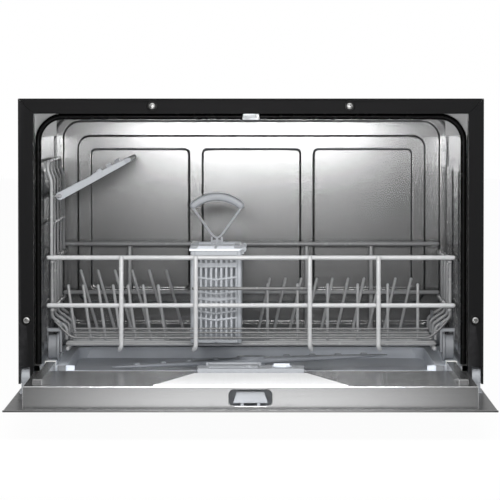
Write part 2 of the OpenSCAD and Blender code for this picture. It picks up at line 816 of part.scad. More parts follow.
module hinge_arm() difference() {
    union() {
        along_x([arm_in, 0, hinge_r], arm_out - arm_in - seat, knuckle_r);
        block([arm_in, 0, 0.1], [arm_out - seat, 12, 8]);
        block([liner_half + 1, 14.5, 0.1], [arm_out - seat, foot_u, 1.6]);
        block([arm_in, 0, 0.1], [arm_out - seat, 16, 1.6]);
    }
    along_x([arm_in - 1, 0, hinge_r], 20, pin_r + running);
}

module hinge_arms() door() color(off_white) both_sides() hinge_arm();

module latch_case() door() color(dark_grey) {
    t = 1.2;
    out = latch_w / 2 + seat + t;
    high = latch_h / 2 + seat + t;
    far = liner_far - sheet_t - seat;
    difference() {
        block([-out, far - latch_depth, latch_v - high], [out, far, latch_v + high]);
        block([-out + t, far - latch_depth + t, latch_v - high + t], [out - t, far + 1, latch_v + high - t]);
    }
    // ribs that the catch slides on
    for (x = [-12, 8]) block([x, far - latch_depth + t / 2, latch_v - high + t / 2],
                             [x + 4, far - 5, latch_v - catch_half - seat]);
}

module latch_catch() door() color(off_white) {
    far = liner_far - 6.5;
    translate([0, far - 3, 0]) upright(0, 3) polygon([
        [10 - latch_w / 2, latch_v + catch_half], [latch_w / 2 - 10, latch_v + catch_half],
        [latch_w / 2 - 5, latch_v - catch_half], [5 - latch_w / 2, latch_v - catch_half]
    ]);
    block([-14, far - 9, latch_v - 3], [14, far - 3, latch_v + 3]);
}

module dispenser_body() door() color(pale_grey) {
    half = disp_w / 2;
    top = door_t + disp_rise;
    difference() {
        union() {
            block([-half, disp_near, door_t + seat], [half, disp_far, top]);
            block([-half + 5, disp_near + 5, 7], [half - 5, disp_far - 5, door_t + seat]);
        }
        block([lid_x - 28, disp_near + 10, 9], [lid_x + 26, disp_far - 9, top + 1]);
        along_z([cap_x, cap_u, 12], 40, cap_r - 3);
    }
    // ears and pins of the lid
    for (x = [-1, 1]) {
        block([lid_x + x * (lid_w / 2 + 2.2) - 1.6, disp_near + 1, top],
              [lid_x + x * (lid_w / 2 + 2.2) + 1.6, disp_near + 7, top + 4.2]);
        along_x([lid_x + x * (lid_w / 2 - 1) - 2.4, disp_near + 4, top + 2.2], 4.8, 1.1);
    }
}

module detergent_lid() door() color(off_white) difference() {
    z = door_t + disp_rise + seat;
    half = lid_w / 2;
    union() {
        block([lid_x - half, disp_near + 6.6, z], [lid_x + half, disp_far - 6, z + 2]);
        along_x([lid_x - half, disp_near + 4, z + 1.9], lid_w, 1.9);
        block([lid_x - half, disp_near + 4, z + 0.4], [lid_x + half, disp_near + 8, z + 2]);
        block([lid_x + 18, disp_far - 12, z + 2], [lid_x + 22, disp_far - 8, z + 3.6]);
    }
    along_x([lid_x - half - 1, disp_near + 4, z + 1.9], lid_w + 2, 1.1 + running);
}

module rinse_cap() door() color(pale_grey) translate([cap_x, cap_u, 0]) {
    z = door_t + disp_rise + seat;
    translate([0, 0, z]) cylinder(h = 2, r = cap_r, $fn = 64);
    translate([0, 0, z + 3]) cube([20, 4, 2.4], center = true);
    translate([0, 0, z - 8]) cylinder(h = 8, r = cap_r - 3 - loose, $fn = 64);
}

module fascia() door() color(glass_black) difference() {
    block([-strip[0] / 2, strip_u - strip[1] / 2, -sheet_t], [strip[0] / 2, strip_u + strip[1] / 2, 2]);
    for (x = button_x) along_z([x, strip_u, -3], 8, button_r + loose);
    for (x = button_x) along_z([x, strip_u, 0.6], 8, button_r + 2);
    block([-62, strip_u - 9, -sheet_t - 1], [62, strip_u + 9, -sheet_t + 0.4]);
}

module grip_cup() door() color(black) difference() {
    t = 1.2;
    w = grip[0] / 2;
    l = grip[1] / 2;
    block([-w, grip_u - l, -sheet_t], [w, grip_u + l, grip[2]]);
    block([-w + t, grip_u - l + t, -sheet_t - 1], [w - t, grip_u + l - t, grip[2] - t]);
}

module button(i) door() color(satin) translate([button_x[i], strip_u, 0]) {
    step = 0.6 + seat;
    translate([0, 0, -sheet_t - 1]) cylinder(h = sheet_t + 1.2 + step, r = button_r, $fn = 48);
    translate([0, 0, step]) cylinder(h = 1.2, r = button_r + 1.4, $fn = 48);
    translate([0, 0, step + 1]) cylinder(h = 4, r = 2, $fn = 24);
}

module power_button() button(0);
module program_button() button(1);
module start_button() button(2);

// ---- basket ----

// The posts' lower hooks turn a little outward.
function hook(x) = 2.4 * sign(x);

module basket_front() machine() color(wire_grey) {
    y = basket_front_y;
    front = y - rail_d + weld;
    for (z = [rail_z, mid_rail_z]) wire([[-rail_half, y, z], [rail_half, y, z]], rail_d);
    wire([[post_x[1] - 5, low_rail_y, short_rail_z], [post_x[2] + 5, low_rail_y, short_rail_z]], wire_d);
    for (z = [low_rail_z[1], low_rail_z[2]]) wire([[-tie_x, low_rail_y, z], [tie_x, low_rail_y, z]], wire_d);
    // the lowest rail turns up to the side wires at both ends
    wire([
        [-side_x + 4, low_rail_y, bend_z], [-toe_x + 2, low_rail_y, toe_z - 2],
        [-tie_x, low_rail_y, low_rail_z[0]], [tie_x, low_rail_y, low_rail_z[0]],
        [toe_x - 2, low_rail_y, toe_z - 2], [side_x - 4, low_rail_y, bend_z]
    ], wire_d);
    for (x = post_x) wire([[x, front, rail_z + 3], [x, front, run_z + 4],
        [x + hook(x), y, run_z], [x + hook(x), y + 5, run_z]], rail_d);
}

module basket_rear() machine() color(wire_grey) {
    y = basket_back_y;
    for (z = [rail_z + 5, mid_rail_z]) wire([[-side_x - 1, y, z], [side_x + 1, y, z]], rail_d);
    back = y + rail_d - weld;
    for (x = post_x) wire([[x, back, rail_z + 8], [x, back, run_z - rail_d / 2]], rail_d);
}

module basket_side() {
    x = side_x;
    front = basket_front_y + rail_d / 2 + seat;
    back = basket_back_y - rail_d / 2 - seat;
    for (z = [rail_z, mid_rail_z]) wire([[-x + 1, front, z - rail_d], [-x + 1, back, z - rail_d]], rail_d);
    for (y = u_wire_y) wire([[-x - 3, y, rail_z - 2], [-x - 3, y, bend_z], [-toe_x, y, toe_z],
                             [-toe_x, y, floor_z + wire_d / 2 + seat]], wire_d);
}

module basket_sides() machine() color(wire_grey) both_sides() basket_side();

module basket_floor() machine() color(wire_grey) {
    for (y = concat(u_wire_y, [100])) wire([[-toe_x, y, floor_z], [toe_x, y, floor_z]], wire_d);
    far = basket_back_y + rail_d / 2 - weld - seat;
    near = basket_front_y + 5 + seat;
    for (x = post_x) wire([[x + hook(x), near, run_z], [x + hook(x), far, run_z]], rail_d);
    both_sides() wire([[toe_x - 4, basket_front_y + 12, run_z], [toe_x - 4, far, run_z]], rail_d);
}

// A row of tines: separate wires that stand beside one carrier rod.
module tine_row(row) {
    y = row[0];
    steps = floor((row[2] - row[4] - row[1]) / row[3]);
    last = row[1] + steps * row[3];
    for (i = [0 : steps]) {
        x = row[1] + i * row[3];
        wire([[x + row[4], y, floor_z], [x, y, row[5]]], tine_d);
    }
    carrier_y = y + tine_d / 2 + wire_d / 2 + seat;
    z = run_z + rail_d / 2 + seat + wire_d / 2;
    wire([[row[1] + row[4] - 5, carrier_y, z], [last + row[4] + 5, carrier_y, z]], wire_d);
}

module tines_left() machine() color(wire_grey) for (row = left_rows) tine_row(row);
module tines_right() machine() color(wire_grey) for (row = right_rows) tine_row(row);

// ---- wheels ----

module wheel_fork(y) {
    cheek = tread_in - flange_t - seat - 2.6;
    strap = tread_out + 0.4;
    // cheek beside the wheel with a boss for the axle
    block([cheek, y - fork_half, wheel_z - 6], [cheek + 2.6, y + fork_half, bend_z - 3]);
    along_x([cheek, y, wheel_z], 2.6, 8);
    along_x([cheek + 1, y, wheel_z], strap + 1.2 - cheek - 1, axle_r);
    along_x([strap, y, wheel_z], 1.2, axle_r + 2);
    // bridge over the wheel and the outer strap
    bridge = wheel_z + flange_r + 2;
    block([cheek, y - fork_half, bridge], [strap + 1.2, y + fork_half, bridge + 4]);
    block([strap, y - 4, wheel_z], [strap + 1.2, y + 4, bridge + 4]);
}

module wheel_forks() machine() color(pale_grey) both_sides() for (y = wheel_y) wheel_fork(y);

module wheel(side, y) machine() color(pale_grey) mirror([side < 0 ? 1 : 0, 0, 0]) difference() {
    union() {
        along_x([tread_in, y, wheel_z], tread_out - tread_in, wheel_r);
        along_x([tread_in - flange_t, y, wheel_z], flange_t, flange_r);
    }
    along_x([tread_in - 20, y, wheel_z], 60, axle_r + running);
    // dished outer face
    along_x([tread_out - 3, y, wheel_z], 10, wheel_r - 3);
}

module wheel_front_left() wheel(-1, wheel_y[0]);
module wheel_front_right() wheel(1, wheel_y[0]);
module wheel_rear_left() wheel(-1, wheel_y[1]);
module wheel_rear_right() wheel(1, wheel_y[1]);

// ---- side rack and cup shelf ----

module side_rack() machine() color(wire_grey) {
    x = -rack_x;
    foot = rail_z - rail_d / 2 + seat;
    top = rack_z[1];
    // the upper part leans to the wall
    wire([[x, rack_near, foot], [x, rack_near, 304], [x - 5, rack_near, 316], [x - 5, rack_near, top],
          [x - 5, rack_far, top], [x - 5, rack_far, 316], [x, rack_far, 304], [x, rack_far, foot]], rail_d);
    wire([[x, rack_near, rack_z[0]], [x, rack_far, rack_z[0]]], wire_d);
    for (i = [1 : rack_wires - 1]) {
        y = rack_near + i * (rack_far - rack_near) / rack_wires;
        wire([[x, y, foot], [x, y, 304], [x - 5, y, 316], [x - 5, y, top]], wire_d);
    }
    // pin that carries the cup shelf, held by two brackets
    near = shelf_near_y - seat - wire_d / 2;
    far = shelf_near_y + shelf_l + seat + wire_d / 2;
    rod([pivot_x, near, pivot_z], [pivot_x, far, pivot_z], 2 * (pivot_r - running));
    for (y = [near, far]) wire([[pivot_x, y, pivot_z], [x, y, pivot_z], [x, y, rack_z[0]]], wire_d);
}

module cup_shelf() machine() color(pale_grey)
    translate([pivot_x, shelf_near_y, pivot_z]) rotate([0, -shelf_tilt, 0]) difference() {
        union() {
            along_y([0, 0, 0], shelf_l, barrel_r);
            translate([0, shelf_l, 0]) rotate([90, 0, 0]) linear_extrude(shelf_l) polygon([
                [0, -barrel_r], [shelf_reach - 8, -4], [shelf_reach, -1], [shelf_reach - 3, 4.3],
                [0, barrel_r]
            ]);
        }
        along_y([0, -1, 0], shelf_l + 2, pivot_r);
        // cup recesses with drain slots
        pitch = (shelf_l - 12) / 3;
        for (i = [0 : 2]) for (j = [0 : floor((shelf_reach - 24) / 13) - 1])
            block([24 + j * 13, 14 + i * pitch, -20], [31 + j * 13, (i + 1) * pitch - 6, 20]);
    }

// ---- cutlery basket ----

module cutlery_body() machine() color(pale_grey) {
    w = cutlery_w / 2;
    t = 2;
    x = cutlery_x;
    y0 = cutlery_near_y;
    y1 = y0 + cutlery_l;
    z0 = cutlery_z;
    z1 = z0 + cutlery_h;
    slots = floor((cutlery_l - 14) / 13);
    difference() {
        block([x - w, y0, z0], [x + w, y1, z1]);
        block([x - w + t, y0 + t, z0 + t], [x + w - t, y1 - t, z1 + 1]);
        // slots in the two end walls
        for (i = [0 : floor((cutlery_w - 12.6) / 6.6) - 1])
            for (band = [[8, 20], [24, 40], [44, 60], [76, 104]]) {
                slot = x - w + 8.6 + i * 6.6;
                block([slot, y0 - 1, z0 + band[0]], [slot + 3.4, y1 + 1, z0 + band[1]]);
            }
        // slots in the long walls
        for (i = [0 : slots - 1]) for (band = [[8, 40], [50, 104]])
            block([x - w - 1, y0 + 12 + i * 13, z0 + band[0]], [x + w + 1, y0 + 20 + i * 13, z0 + band[1]]);
        // drain slots in the floor
        for (i = [0 : slots - 1])
            block([x - w + 8, y0 + 12 + i * 13, z0 - 1], [x + w - 8, y0 + 20 + i * 13, z0 + 5]);
    }
    // dividers
    for (i = [1 : 3]) {
        y = y0 + i * cutlery_l / 4;
        block([x - w + t, y - 1, z0 + t], [x + w - t, y + 1, z1 - 14]);
    }
    // lugs and pins that carry the two lids
    for (from = lid_from) for (near = [from + 5.6, from + 8.4 + lid_hinge_l])
        block([x + w - 1, near, z1 - 6], [lid_axis_x + 2, near + 2, lid_axis_z + 2]);
    for (from = lid_from) for (near = [from + 7, from + 5 + lid_hinge_l])
        along_y([lid_axis_x, near, lid_axis_z], 4, lid_pin_r);
    // pillars on the corners
    for (side = [-1, 1]) for (y = [y0 + 1.6, y1 - 1.6])
        along_z([x + side * (w - 3), y, z0], cutlery_h, 3.4);
}

module cutlery_lid(from) machine() color(pale_grey) {
    w = cutlery_w / 2 + 2;
    x = cutlery_x;
    z = cutlery_z + cutlery_h + seat;
    slots = floor((lid_l - 16) / 17);
    difference() {
        union() {
            block([x - w, from, z], [x + w - 4, from + lid_l, z + 3]);
            block([x + w - 5, from + 8.6, z], [lid_axis_x, from + 8 + lid_hinge_l - 0.6, z + 3]);
            along_y([lid_axis_x, from + 8.6, lid_axis_z], lid_hinge_l - 1.2, 2.2);
        }
        for (i = [0 : slots - 1]) for (j = [0 : 1])
            block([x - 25 + j * 26, from + 10 + i * 17, z - 1], [x - 3 + j * 26, from + 22 + i * 17, z + 4]);
        along_y([lid_axis_x, from, lid_axis_z], lid_hinge_l + 20, lid_pin_r + running);
    }
}

module cutlery_lid_front() cutlery_lid(lid_from[0]);
module cutlery_lid_rear() cutlery_lid(lid_from[1]);

module cutlery_handle() machine() color(pale_grey) {
    x = cutlery_x;
    w = cutlery_w / 2;
    z = cutlery_z + cutlery_h + seat;
    upright(handle_y - 6, 12) {
        // bar across the basket with hooks over its long walls
        translate([x - w - 2, z]) square([2 * w + 4, 4]);
        for (side = [-1, 1]) translate([x + side * (w + 1.15) - 0.85, z - 8]) square([1.7, 9]);
        difference() {
            translate([x, handle_z - 52]) circle(52, $fn = 96);
            translate([x, handle_z - 52]) circle(42.5, $fn = 96);
            translate([x - 60, handle_z - 120]) square([120, 104]);
        }
        translate([x - 7.5, z + 3]) square([15, handle_z - 62 - z]);
    }
    // thin legs from the arch down to the bracket
    for (side = [0, 1]) upright(handle_y - 5, 10) translate([x, 0]) mirror([side, 0]) polygon([
        [-0.2, handle_z - 60], [3.6, handle_z - 60], [34.6, handle_z - 13], [31, handle_z - 13]
    ]);
}

// ---- spray arm ----

module spray_arm() machine() color(basin_grey) translate([0, hub_y, 0]) rotate([0, 0, arm_park]) difference() {
    z = arm_z;
    union() {
        cylinder_at(z, hub_h, hub_r);
        // two hollow wings, one rising to its tip and one falling
        intersection() {
            translate([0, 0, z]) linear_extrude(30) polygon([
                [0, -hub_r + 1], [arm_r - 8, -9], [arm_r, -3], [arm_r, 4], [arm_r - 6, 9], [0, hub_r - 1],
                [-arm_r + 8, 9], [-arm_r, 3], [-arm_r, -4], [-arm_r + 6, -9]
            ]);
            upright(-30, 60) polygon([
                [-arm_r - 1, z + 3.2], [0, z + 4.5], [arm_r + 1, z + 12.5],
                [arm_r + 1, z + 16], [hub_r, z + 15.5], [-hub_r, z + 14.5], [-arm_r - 1, z + 6.5]
            ]);
        }
    }
    translate([0, 0, z - 1]) cylinder(h = 9, r = riser_r, $fn = 64);
    for (side = [-1, 1]) for (x = nozzle_x)
        translate([side * x - 4, side * 3 - 1, z + (side > 0 ? 14 : 13.2 - x * 0.047)]) cube([8, 2, 9]);
}

module cylinder_at(z, h, r) translate([0, 0, z]) cylinder(h = h, r = r, $fn = 48);

trim_top();
trim_left();
trim_right();
frame_screws();
side_panel_left();
side_panel_right();
top_panel();
rear_panel();
base_pan();
feet();
tub_wrapper();
tub_rear_wall();
tub_base();
door_seal();
door_striker();
rail_ends();
sump();
fine_filter();
filter_cylinder();
salt_cap();
wash_pump();
drain_pump();
inlet_valve();
inlet_chamber();
control_module();
power_inlet();
hinge_brackets();
door_springs();
door_skin();
door_liner();
hinge_arms();
latch_case();
latch_catch();
dispenser_body();
detergent_lid();
rinse_cap();
fascia();
grip_cup();
power_button();
program_button();
start_button();
basket_front();
basket_rear();
basket_sides();
basket_floor();
tines_left();
tines_right();
wheel_forks();
wheel_front_left();
wheel_front_right();
wheel_rear_left();
wheel_rear_right();
side_rack();
cup_shelf();
cutlery_body();
cutlery_lid_front();
cutlery_lid_rear();
cutlery_handle();
spray_arm();
softener();
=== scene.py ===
"""Compact dishwasher with its door open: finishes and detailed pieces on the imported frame."""

import math

import bmesh
import bpy
from bpy.props import FloatProperty, FloatVectorProperty, IntProperty, PointerProperty
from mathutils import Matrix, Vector


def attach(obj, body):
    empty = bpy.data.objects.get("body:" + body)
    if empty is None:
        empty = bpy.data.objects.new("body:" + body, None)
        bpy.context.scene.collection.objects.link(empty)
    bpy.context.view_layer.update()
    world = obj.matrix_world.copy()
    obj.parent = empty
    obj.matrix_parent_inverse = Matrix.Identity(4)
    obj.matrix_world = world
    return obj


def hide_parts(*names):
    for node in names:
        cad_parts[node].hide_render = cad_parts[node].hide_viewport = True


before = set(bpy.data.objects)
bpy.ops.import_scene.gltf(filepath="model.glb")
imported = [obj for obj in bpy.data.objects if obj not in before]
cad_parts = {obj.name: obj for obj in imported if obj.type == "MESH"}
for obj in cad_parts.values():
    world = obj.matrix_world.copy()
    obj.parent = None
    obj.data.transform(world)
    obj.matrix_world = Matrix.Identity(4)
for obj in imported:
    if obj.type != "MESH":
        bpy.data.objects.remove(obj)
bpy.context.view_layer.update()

bl_info = {
    "name": "Compact Dishwasher",
    "version": (1, 0, 0),
    "blender": (4, 5, 0),
    "location": "3D View > Sidebar > Dishwasher",
    "description": "Builds the finishes and the detailed pieces of a compact dishwasher",
    "category": "Object",
}


# ---- main lines of the machine, in its own millimetres ----

CENTRE_Y = 77.5  # depth of the frame's origin
HINGE_Y, SKIN_Z = 13.3, 36.4  # the door's hinge line and the upper side of its open sheet
SCREWS = ((-126, 400.3), (126, 400.3), (-286.9, 126.5), (286.9, 126.5))
TUB_HALF, TUB_TOP, TUB_CORNER = 271.5, 386.0, 28.0  # the tub's inner face
WALL_HALF, WALL_TOP, WALL_CORNER = 272.4, 386.9, 29  # the edge of its rear wall
WALL_Y = 430.0
RAIL_Z, MID_Z, RUN_Z, FLOOR_Z = 204.4, 142.6, 85.6, 90.0  # the basket's wires, from the top rail down
FRONT_Y, BACK_Y = 57.0, 405.0
POSTS = (-167.5, -71.3, 76.0, 164.7)
FLOOR_Y = (137.0, 214.67, 292.33, 370.0)
SIDE_X, TOE_X, TIE_X = 258.0, 242.0, 230.0
TINE_ROWS_Y = (176, 318.33)
SHELF_X, SHELF_Y, SHELF_Z = -248.5, 92, 283  # the near end of the cup shelf's pivot
SHELF_TILT = math.radians(27.6)
CUTLERY_X = -45.3
ARM_Y = 228.5
ARM_PARK = math.radians(16)


def at(x, y, z):
    """A point given in the machine's millimetres, in the frame's metres."""
    return Vector((x / 1000, (y - CENTRE_Y) / 1000, z / 1000))


def on_door(x, u, v):
    """A point given on the open door: u from the hinge outwards, v above its sheet."""
    return at(x, HINGE_Y - u, SKIN_Z + v)


# ---- sizes and colours ----


def length(name, text, value):
    return FloatProperty(name=name, description=text, default=value, min=0.0001, unit="LENGTH")


def colour(name, text, value):
    return FloatVectorProperty(name=name, description=text, default=value, size=3, min=0, max=1,
                               subtype="COLOR")


class DishwasherSizes(bpy.types.PropertyGroup):
    rail: length("Rail", "Thickness of the basket's rails and posts", 0.006)
    wire: length("Wire", "Thickness of the basket's floor and side wires", 0.0046)
    tine: length("Tine", "Thickness of the plate tines", 0.0042)
    rack_wire: length("Rack wire", "Thickness of the side rack's upright wires", 0.0026)
    wire_sides: IntProperty(name="Wire sides", description="Facets round each wire", default=12,
                            min=6, max=32)
    emboss: length("Emboss", "Depth of the pressed fields in the rear wall", 0.0032)
    press_width: length("Press width", "Width of the slope at the edge of a pressed field", 0.0015)
    wall_step: length("Wall step", "Finest grid step of the pressed rear wall", 0.0008)
    wheel_radius: length("Wheel radius", "Radius of the wheel treads", 0.016)
    arm_reach: length("Arm reach", "Half length of the spray arm", 0.190)


class DishwasherColours(bpy.types.PropertyGroup):
    coating: colour("Coating", "Black coating of the trim", (0.006, 0.006, 0.0063))
    stainless: colour("Stainless", "Brushed steel of the tub and door", (0.54, 0.542, 0.545))
    galvanised: colour("Galvanised", "Zinc on the case panels", (0.50, 0.515, 0.53))
    rubber: colour("Rubber", "Door seal", (0.0028, 0.0028, 0.0028))
    basin: colour("Basin", "Blue-grey moulding of the tub base", (0.66, 0.695, 0.75))
    pale: colour("Pale", "Pale grey moulding of baskets and wheels", (0.33, 0.345, 0.368))
    wire: colour("Wire", "Coating of the basket wires", (0.29, 0.293, 0.297))
    dark: colour("Dark", "Dark mouldings", (0.03, 0.032, 0.035))
    white: colour("White", "Off-white mouldings", (0.62, 0.62, 0.60))
    gloss: colour("Gloss", "Glossy control panel", (0.006, 0.006, 0.007))


# ---- shader effects ----

SOCKETS = {"Colour": "NodeSocketColor", "Worn colour": "NodeSocketColor", "Stretch": "NodeSocketVector"}
MID_GREY = (0.5, 0.5, 0.5, 1)


def add(tree, kind, inputs=None, **settings):
    """Adds a node; each input is a value or the output that feeds it."""
    made = tree.nodes.new(kind)
    for key, value in settings.items():
        setattr(made, key, value)
    for key, value in (inputs or {}).items():
        plug(tree, made.inputs[key], value)
    return made


def plug(tree, socket, value):
    if isinstance(value, bpy.types.NodeSocket):
        tree.links.new(value, socket)
    else:
        socket.default_value = value


def maths(tree, operation, *values):
    return add(tree, "ShaderNodeMath", dict(enumerate(values)), operation=operation).outputs[0]


def remap(tree, value, *limits, **settings):
    """Carries a value from one range to another: from low, from high, to low, to high."""
    return add(tree, "ShaderNodeMapRange", dict(enumerate((value,) + limits)), **settings).outputs[0]


def mixed(tree, factor, low, high, **settings):
    return add(tree, "ShaderNodeMix", {0: factor, 6: low, 7: high}, data_type="RGBA", **settings).outputs[2]


def tint(tree, low, high, factor, source):
    """Mixes two shades of a colour: source times low and source times high."""
    shades = [mixed(tree, 1.0, source, (share, share, share, 1), blend_type="MULTIPLY")
              for share in (low, high)]
    return mixed(tree, factor, *shades)


def own_space(tree):
    return add(tree, "ShaderNodeTexCoord").outputs["Object"]


def noise(tree, scale, detail, vector=None, roughness=0.5):
    """Noise, laid out in the object's own space unless a vector is given."""
    place = own_space(tree) if vector is None else vector
    return add(tree, "ShaderNodeTexNoise",
               {"Vector": place, "Scale": scale, "Detail": detail, "Roughness": roughness}).outputs[0]


def cells(tree, scale, **more):
    return add(tree, "ShaderNodeTexVoronoi", {"Vector": own_space(tree), "Scale": scale, **more}).outputs


def effect(name, defaults, outputs):
    """An empty shader group, with a default for each named input."""
    group = bpy.data.node_groups.new(name, "ShaderNodeTree")
    for label, value in defaults.items():
        kind = SOCKETS.get(label, "NodeSocketFloat")
        group.interface.new_socket(label, in_out="INPUT", socket_type=kind).default_value = value
    for label in outputs:
        kind = SOCKETS.get(label, "NodeSocketFloat")
        group.interface.new_socket(label, in_out="OUTPUT", socket_type=kind)
    return group, group.nodes.new("NodeGroupInput").outputs, group.nodes.new("NodeGroupOutput").inputs


def give(group, out, **values):
    for label, value in values.items():
        group.links.new(value, out[label])
    return group


def brushed_grain():
    """Long fine scratches along one direction, with slow clouds of tone."""
    defaults = {"Colour": MID_GREY, "Stretch": (6, 900, 900), "Roughness": 0.25, "Contrast": 0.06}
    group, pins, out = effect("Brushed grain", defaults, ("Colour", "Roughness", "Height"))
    stretched = add(group, "ShaderNodeMapping", {"Vector": own_space(group), "Scale": pins["Stretch"]})
    lines = noise(group, 1.0, 5.0, stretched.outputs[0], 0.65)
    cloudiness = 0.35
    clouded = maths(group, "MULTIPLY_ADD", noise(group, 9.0, 3.0), cloudiness, lines)
    tone = maths(group, "SUBTRACT", clouded, cloudiness / 2)
    offset = maths(group, "SUBTRACT", tone, 0.5)
    return give(group, out, Colour=tint(group, 0.9, 1.06, tone, pins["Colour"]), Height=lines,
                Roughness=maths(group, "MULTIPLY_ADD", offset, pins["Contrast"], pins["Roughness"]))


def moulded_grain():
    """Fine spark-eroded grain of a moulding, with slight clouding and wiped patches."""
    defaults = {"Colour": MID_GREY, "Grain": 2600.0, "Roughness": 0.45}
    group, pins, out = effect("Moulded grain", defaults, ("Colour", "Roughness", "Height"))
    fine = noise(group, pins["Grain"], 2.0)
    clouds = noise(group, 26.0, 4.0)
    patches = 0.16
    rough = maths(group, "MULTIPLY_ADD", clouds, patches, pins["Roughness"])
    shade = remap(group, clouds, 0.25, 0.75, 0.0, 1.0)
    return give(group, out, Colour=tint(group, 0.93, 1.05, shade, pins["Colour"]), Height=fine,
                Roughness=maths(group, "SUBTRACT", rough, patches / 2))


def rubbed_edges():
    """Edges rubbed to another shade, from how sharply the surface turns."""
    defaults = {"Colour": MID_GREY, "Worn colour": (0.8, 0.8, 0.8, 1), "Amount": 0.3}
    group, pins, out = effect("Rubbed edges", defaults, ("Colour",))
    shape = add(group, "ShaderNodeNewGeometry")
    edge = remap(group, shape.outputs["Pointiness"], 0.53, 0.62, 0.0, 1.0)
    broken = maths(group, "MULTIPLY", edge, noise(group, 160.0, 3.0))
    mask = maths(group, "MULTIPLY", broken, pins["Amount"])
    return give(group, out, Colour=mixed(group, mask, pins["Colour"], pins["Worn colour"]))


def water_marks():
    """Faint dried drops and a thin film that change how rough a surface is."""
    defaults = {"Roughness": 0.2, "Amount": 0.1, "Scale": 60.0}
    group, pins, out = effect("Water marks", defaults, ("Roughness",))
    drops = remap(group, cells(group, pins["Scale"])["Distance"], 0.12, 0.3, 1.0, 0.0)
    marks = maths(group, "MULTIPLY", drops, noise(group, 7.0, 5.0))
    return give(group, out, Roughness=maths(group, "MULTIPLY_ADD", marks, pins["Amount"], pins["Roughness"]))


def zinc_spangle():
    """Crystals of hot-dipped zinc."""
    defaults = {"Colour": MID_GREY, "Size": 90.0, "Roughness": 0.4}
    group, pins, out = effect("Zinc spangle", defaults, ("Colour", "Roughness"))
    grey = add(group, "ShaderNodeSeparateColor", {0: cells(group, pins["Size"])["Color"]}).outputs
    return give(group, out, Colour=tint(group, 0.86, 1.08, grey[0], pins["Colour"]),
                Roughness=maths(group, "MULTIPLY_ADD", grey[1], 0.14, pins["Roughness"]))


def powder_texture():
    """The fine orange peel of a powder coating."""
    defaults = {"Grain": 900.0, "Roughness": 0.5}
    group, pins, out = effect("Powder texture", defaults, ("Roughness", "Height"))
    return give(group, out, Height=noise(group, pins["Grain"], 3.0),
                Roughness=maths(group, "MULTIPLY_ADD", noise(group, 14.0, 2.0), 0.12, pins["Roughness"]))


MAKERS = {"Brushed grain": brushed_grain, "Moulded grain": moulded_grain, "Rubbed edges": rubbed_edges,
          "Water marks": water_marks, "Zinc spangle": zinc_spangle, "Powder texture": powder_texture}
EFFECTS = {}


def place_effect(tree, name, **inputs):
    """Places a shader group, which is made once, with this material's own values."""
    if name not in EFFECTS:
        EFFECTS[name] = MAKERS[name]()
    made = tree.nodes.new("ShaderNodeGroup")
    made.node_tree = EFFECTS[name]
    for key, value in inputs.items():
        plug(tree, made.inputs[key.replace("_", " ").capitalize()], value)
    return made.outputs


# ---- finishes ----

FINISHES = {}
ALONG_X, ALONG_Y = (5, 900, 900), (900, 5, 900)  # a brushed grain's scale on each axis


def rgba(value):
    return (value[0], value[1], value[2], 1)


def shade(value, share):
    """A lighter or darker shade of a colour."""
    return [min(1.0, c * share) for c in value]


def start_finish(name, **sockets):
    made = bpy.data.materials.new(name)
    made.use_nodes = True
    surface = made.node_tree.nodes["Principled BSDF"]
    for key, value in sockets.items():
        surface.inputs[key.replace("_", " ")].default_value = value
    return made, made.node_tree, surface


def feed(tree, surface, tone, roughness, height=None, strength=0.2, distance=0.00002):
    """Links the base colour, the roughness and, if given, the height of the grain."""
    tree.links.new(tone, surface.inputs["Base Color"])
    tree.links.new(roughness, surface.inputs["Roughness"])
    if height is not None:
        bump = add(tree, "ShaderNodeBump", {"Height": height, "Strength": strength, "Distance": distance})
        tree.links.new(bump.outputs[0], surface.inputs["Normal"])


def steel_finish(name, tone, stretch, roughness, marks=0.12, height=0.00002, metallic=1.0):
    made, tree, surface = start_finish(name, Metallic=metallic)
    grain = place_effect(tree, "Brushed grain", colour=rgba(tone), stretch=stretch, roughness=roughness,
                         contrast=0.08)
    film = place_effect(tree, "Water marks", roughness=grain["Roughness"], amount=marks, scale=70.0)
    feed(tree, surface, grain["Colour"], film["Roughness"], grain["Height"], 0.2, height)
    return made


def plastic_finish(name, tone, roughness, grain=2600.0, worn=None, **sockets):
    made, tree, surface = start_finish(name, **sockets)
    mould = place_effect(tree, "Moulded grain", colour=rgba(tone), grain=grain, roughness=roughness)
    worn = worn or [min(1.0, c * 1.35 + 0.02) for c in tone]
    edge = place_effect(tree, "Rubbed edges", colour=mould["Colour"], worn_colour=rgba(worn), amount=0.5)
    film = place_effect(tree, "Water marks", roughness=mould["Roughness"], amount=0.1, scale=90.0)
    feed(tree, surface, edge["Colour"], film["Roughness"], mould["Height"], 0.3, 0.00003)
    return made


def wire_finish(name, tone):
    return plastic_finish(name, tone, 0.24, grain=500.0, Specular_IOR_Level=0.8)


def zinc_finish(name, tone, roughness):
    made, tree, surface = start_finish(name, Metallic=1.0)
    crystals = place_effect(tree, "Zinc spangle", colour=rgba(tone), size=85.0, roughness=roughness)
    edge = place_effect(tree, "Rubbed edges", colour=crystals["Colour"], amount=0.6,
                        worn_colour=(0.75, 0.76, 0.78, 1))
    feed(tree, surface, edge["Colour"], crystals["Roughness"])
    return made


def coated_finish(name, tone, roughness):
    made, tree, surface = start_finish(name, Specular_IOR_Level=0.06)
    powder = place_effect(tree, "Powder texture", grain=900.0, roughness=roughness)
    edge = place_effect(tree, "Rubbed edges", colour=rgba(tone), amount=0.45,
                        worn_colour=(0.09, 0.09, 0.095, 1))
    feed(tree, surface, edge["Colour"], powder["Roughness"], powder["Height"], 0.35, 0.00006)
    return made


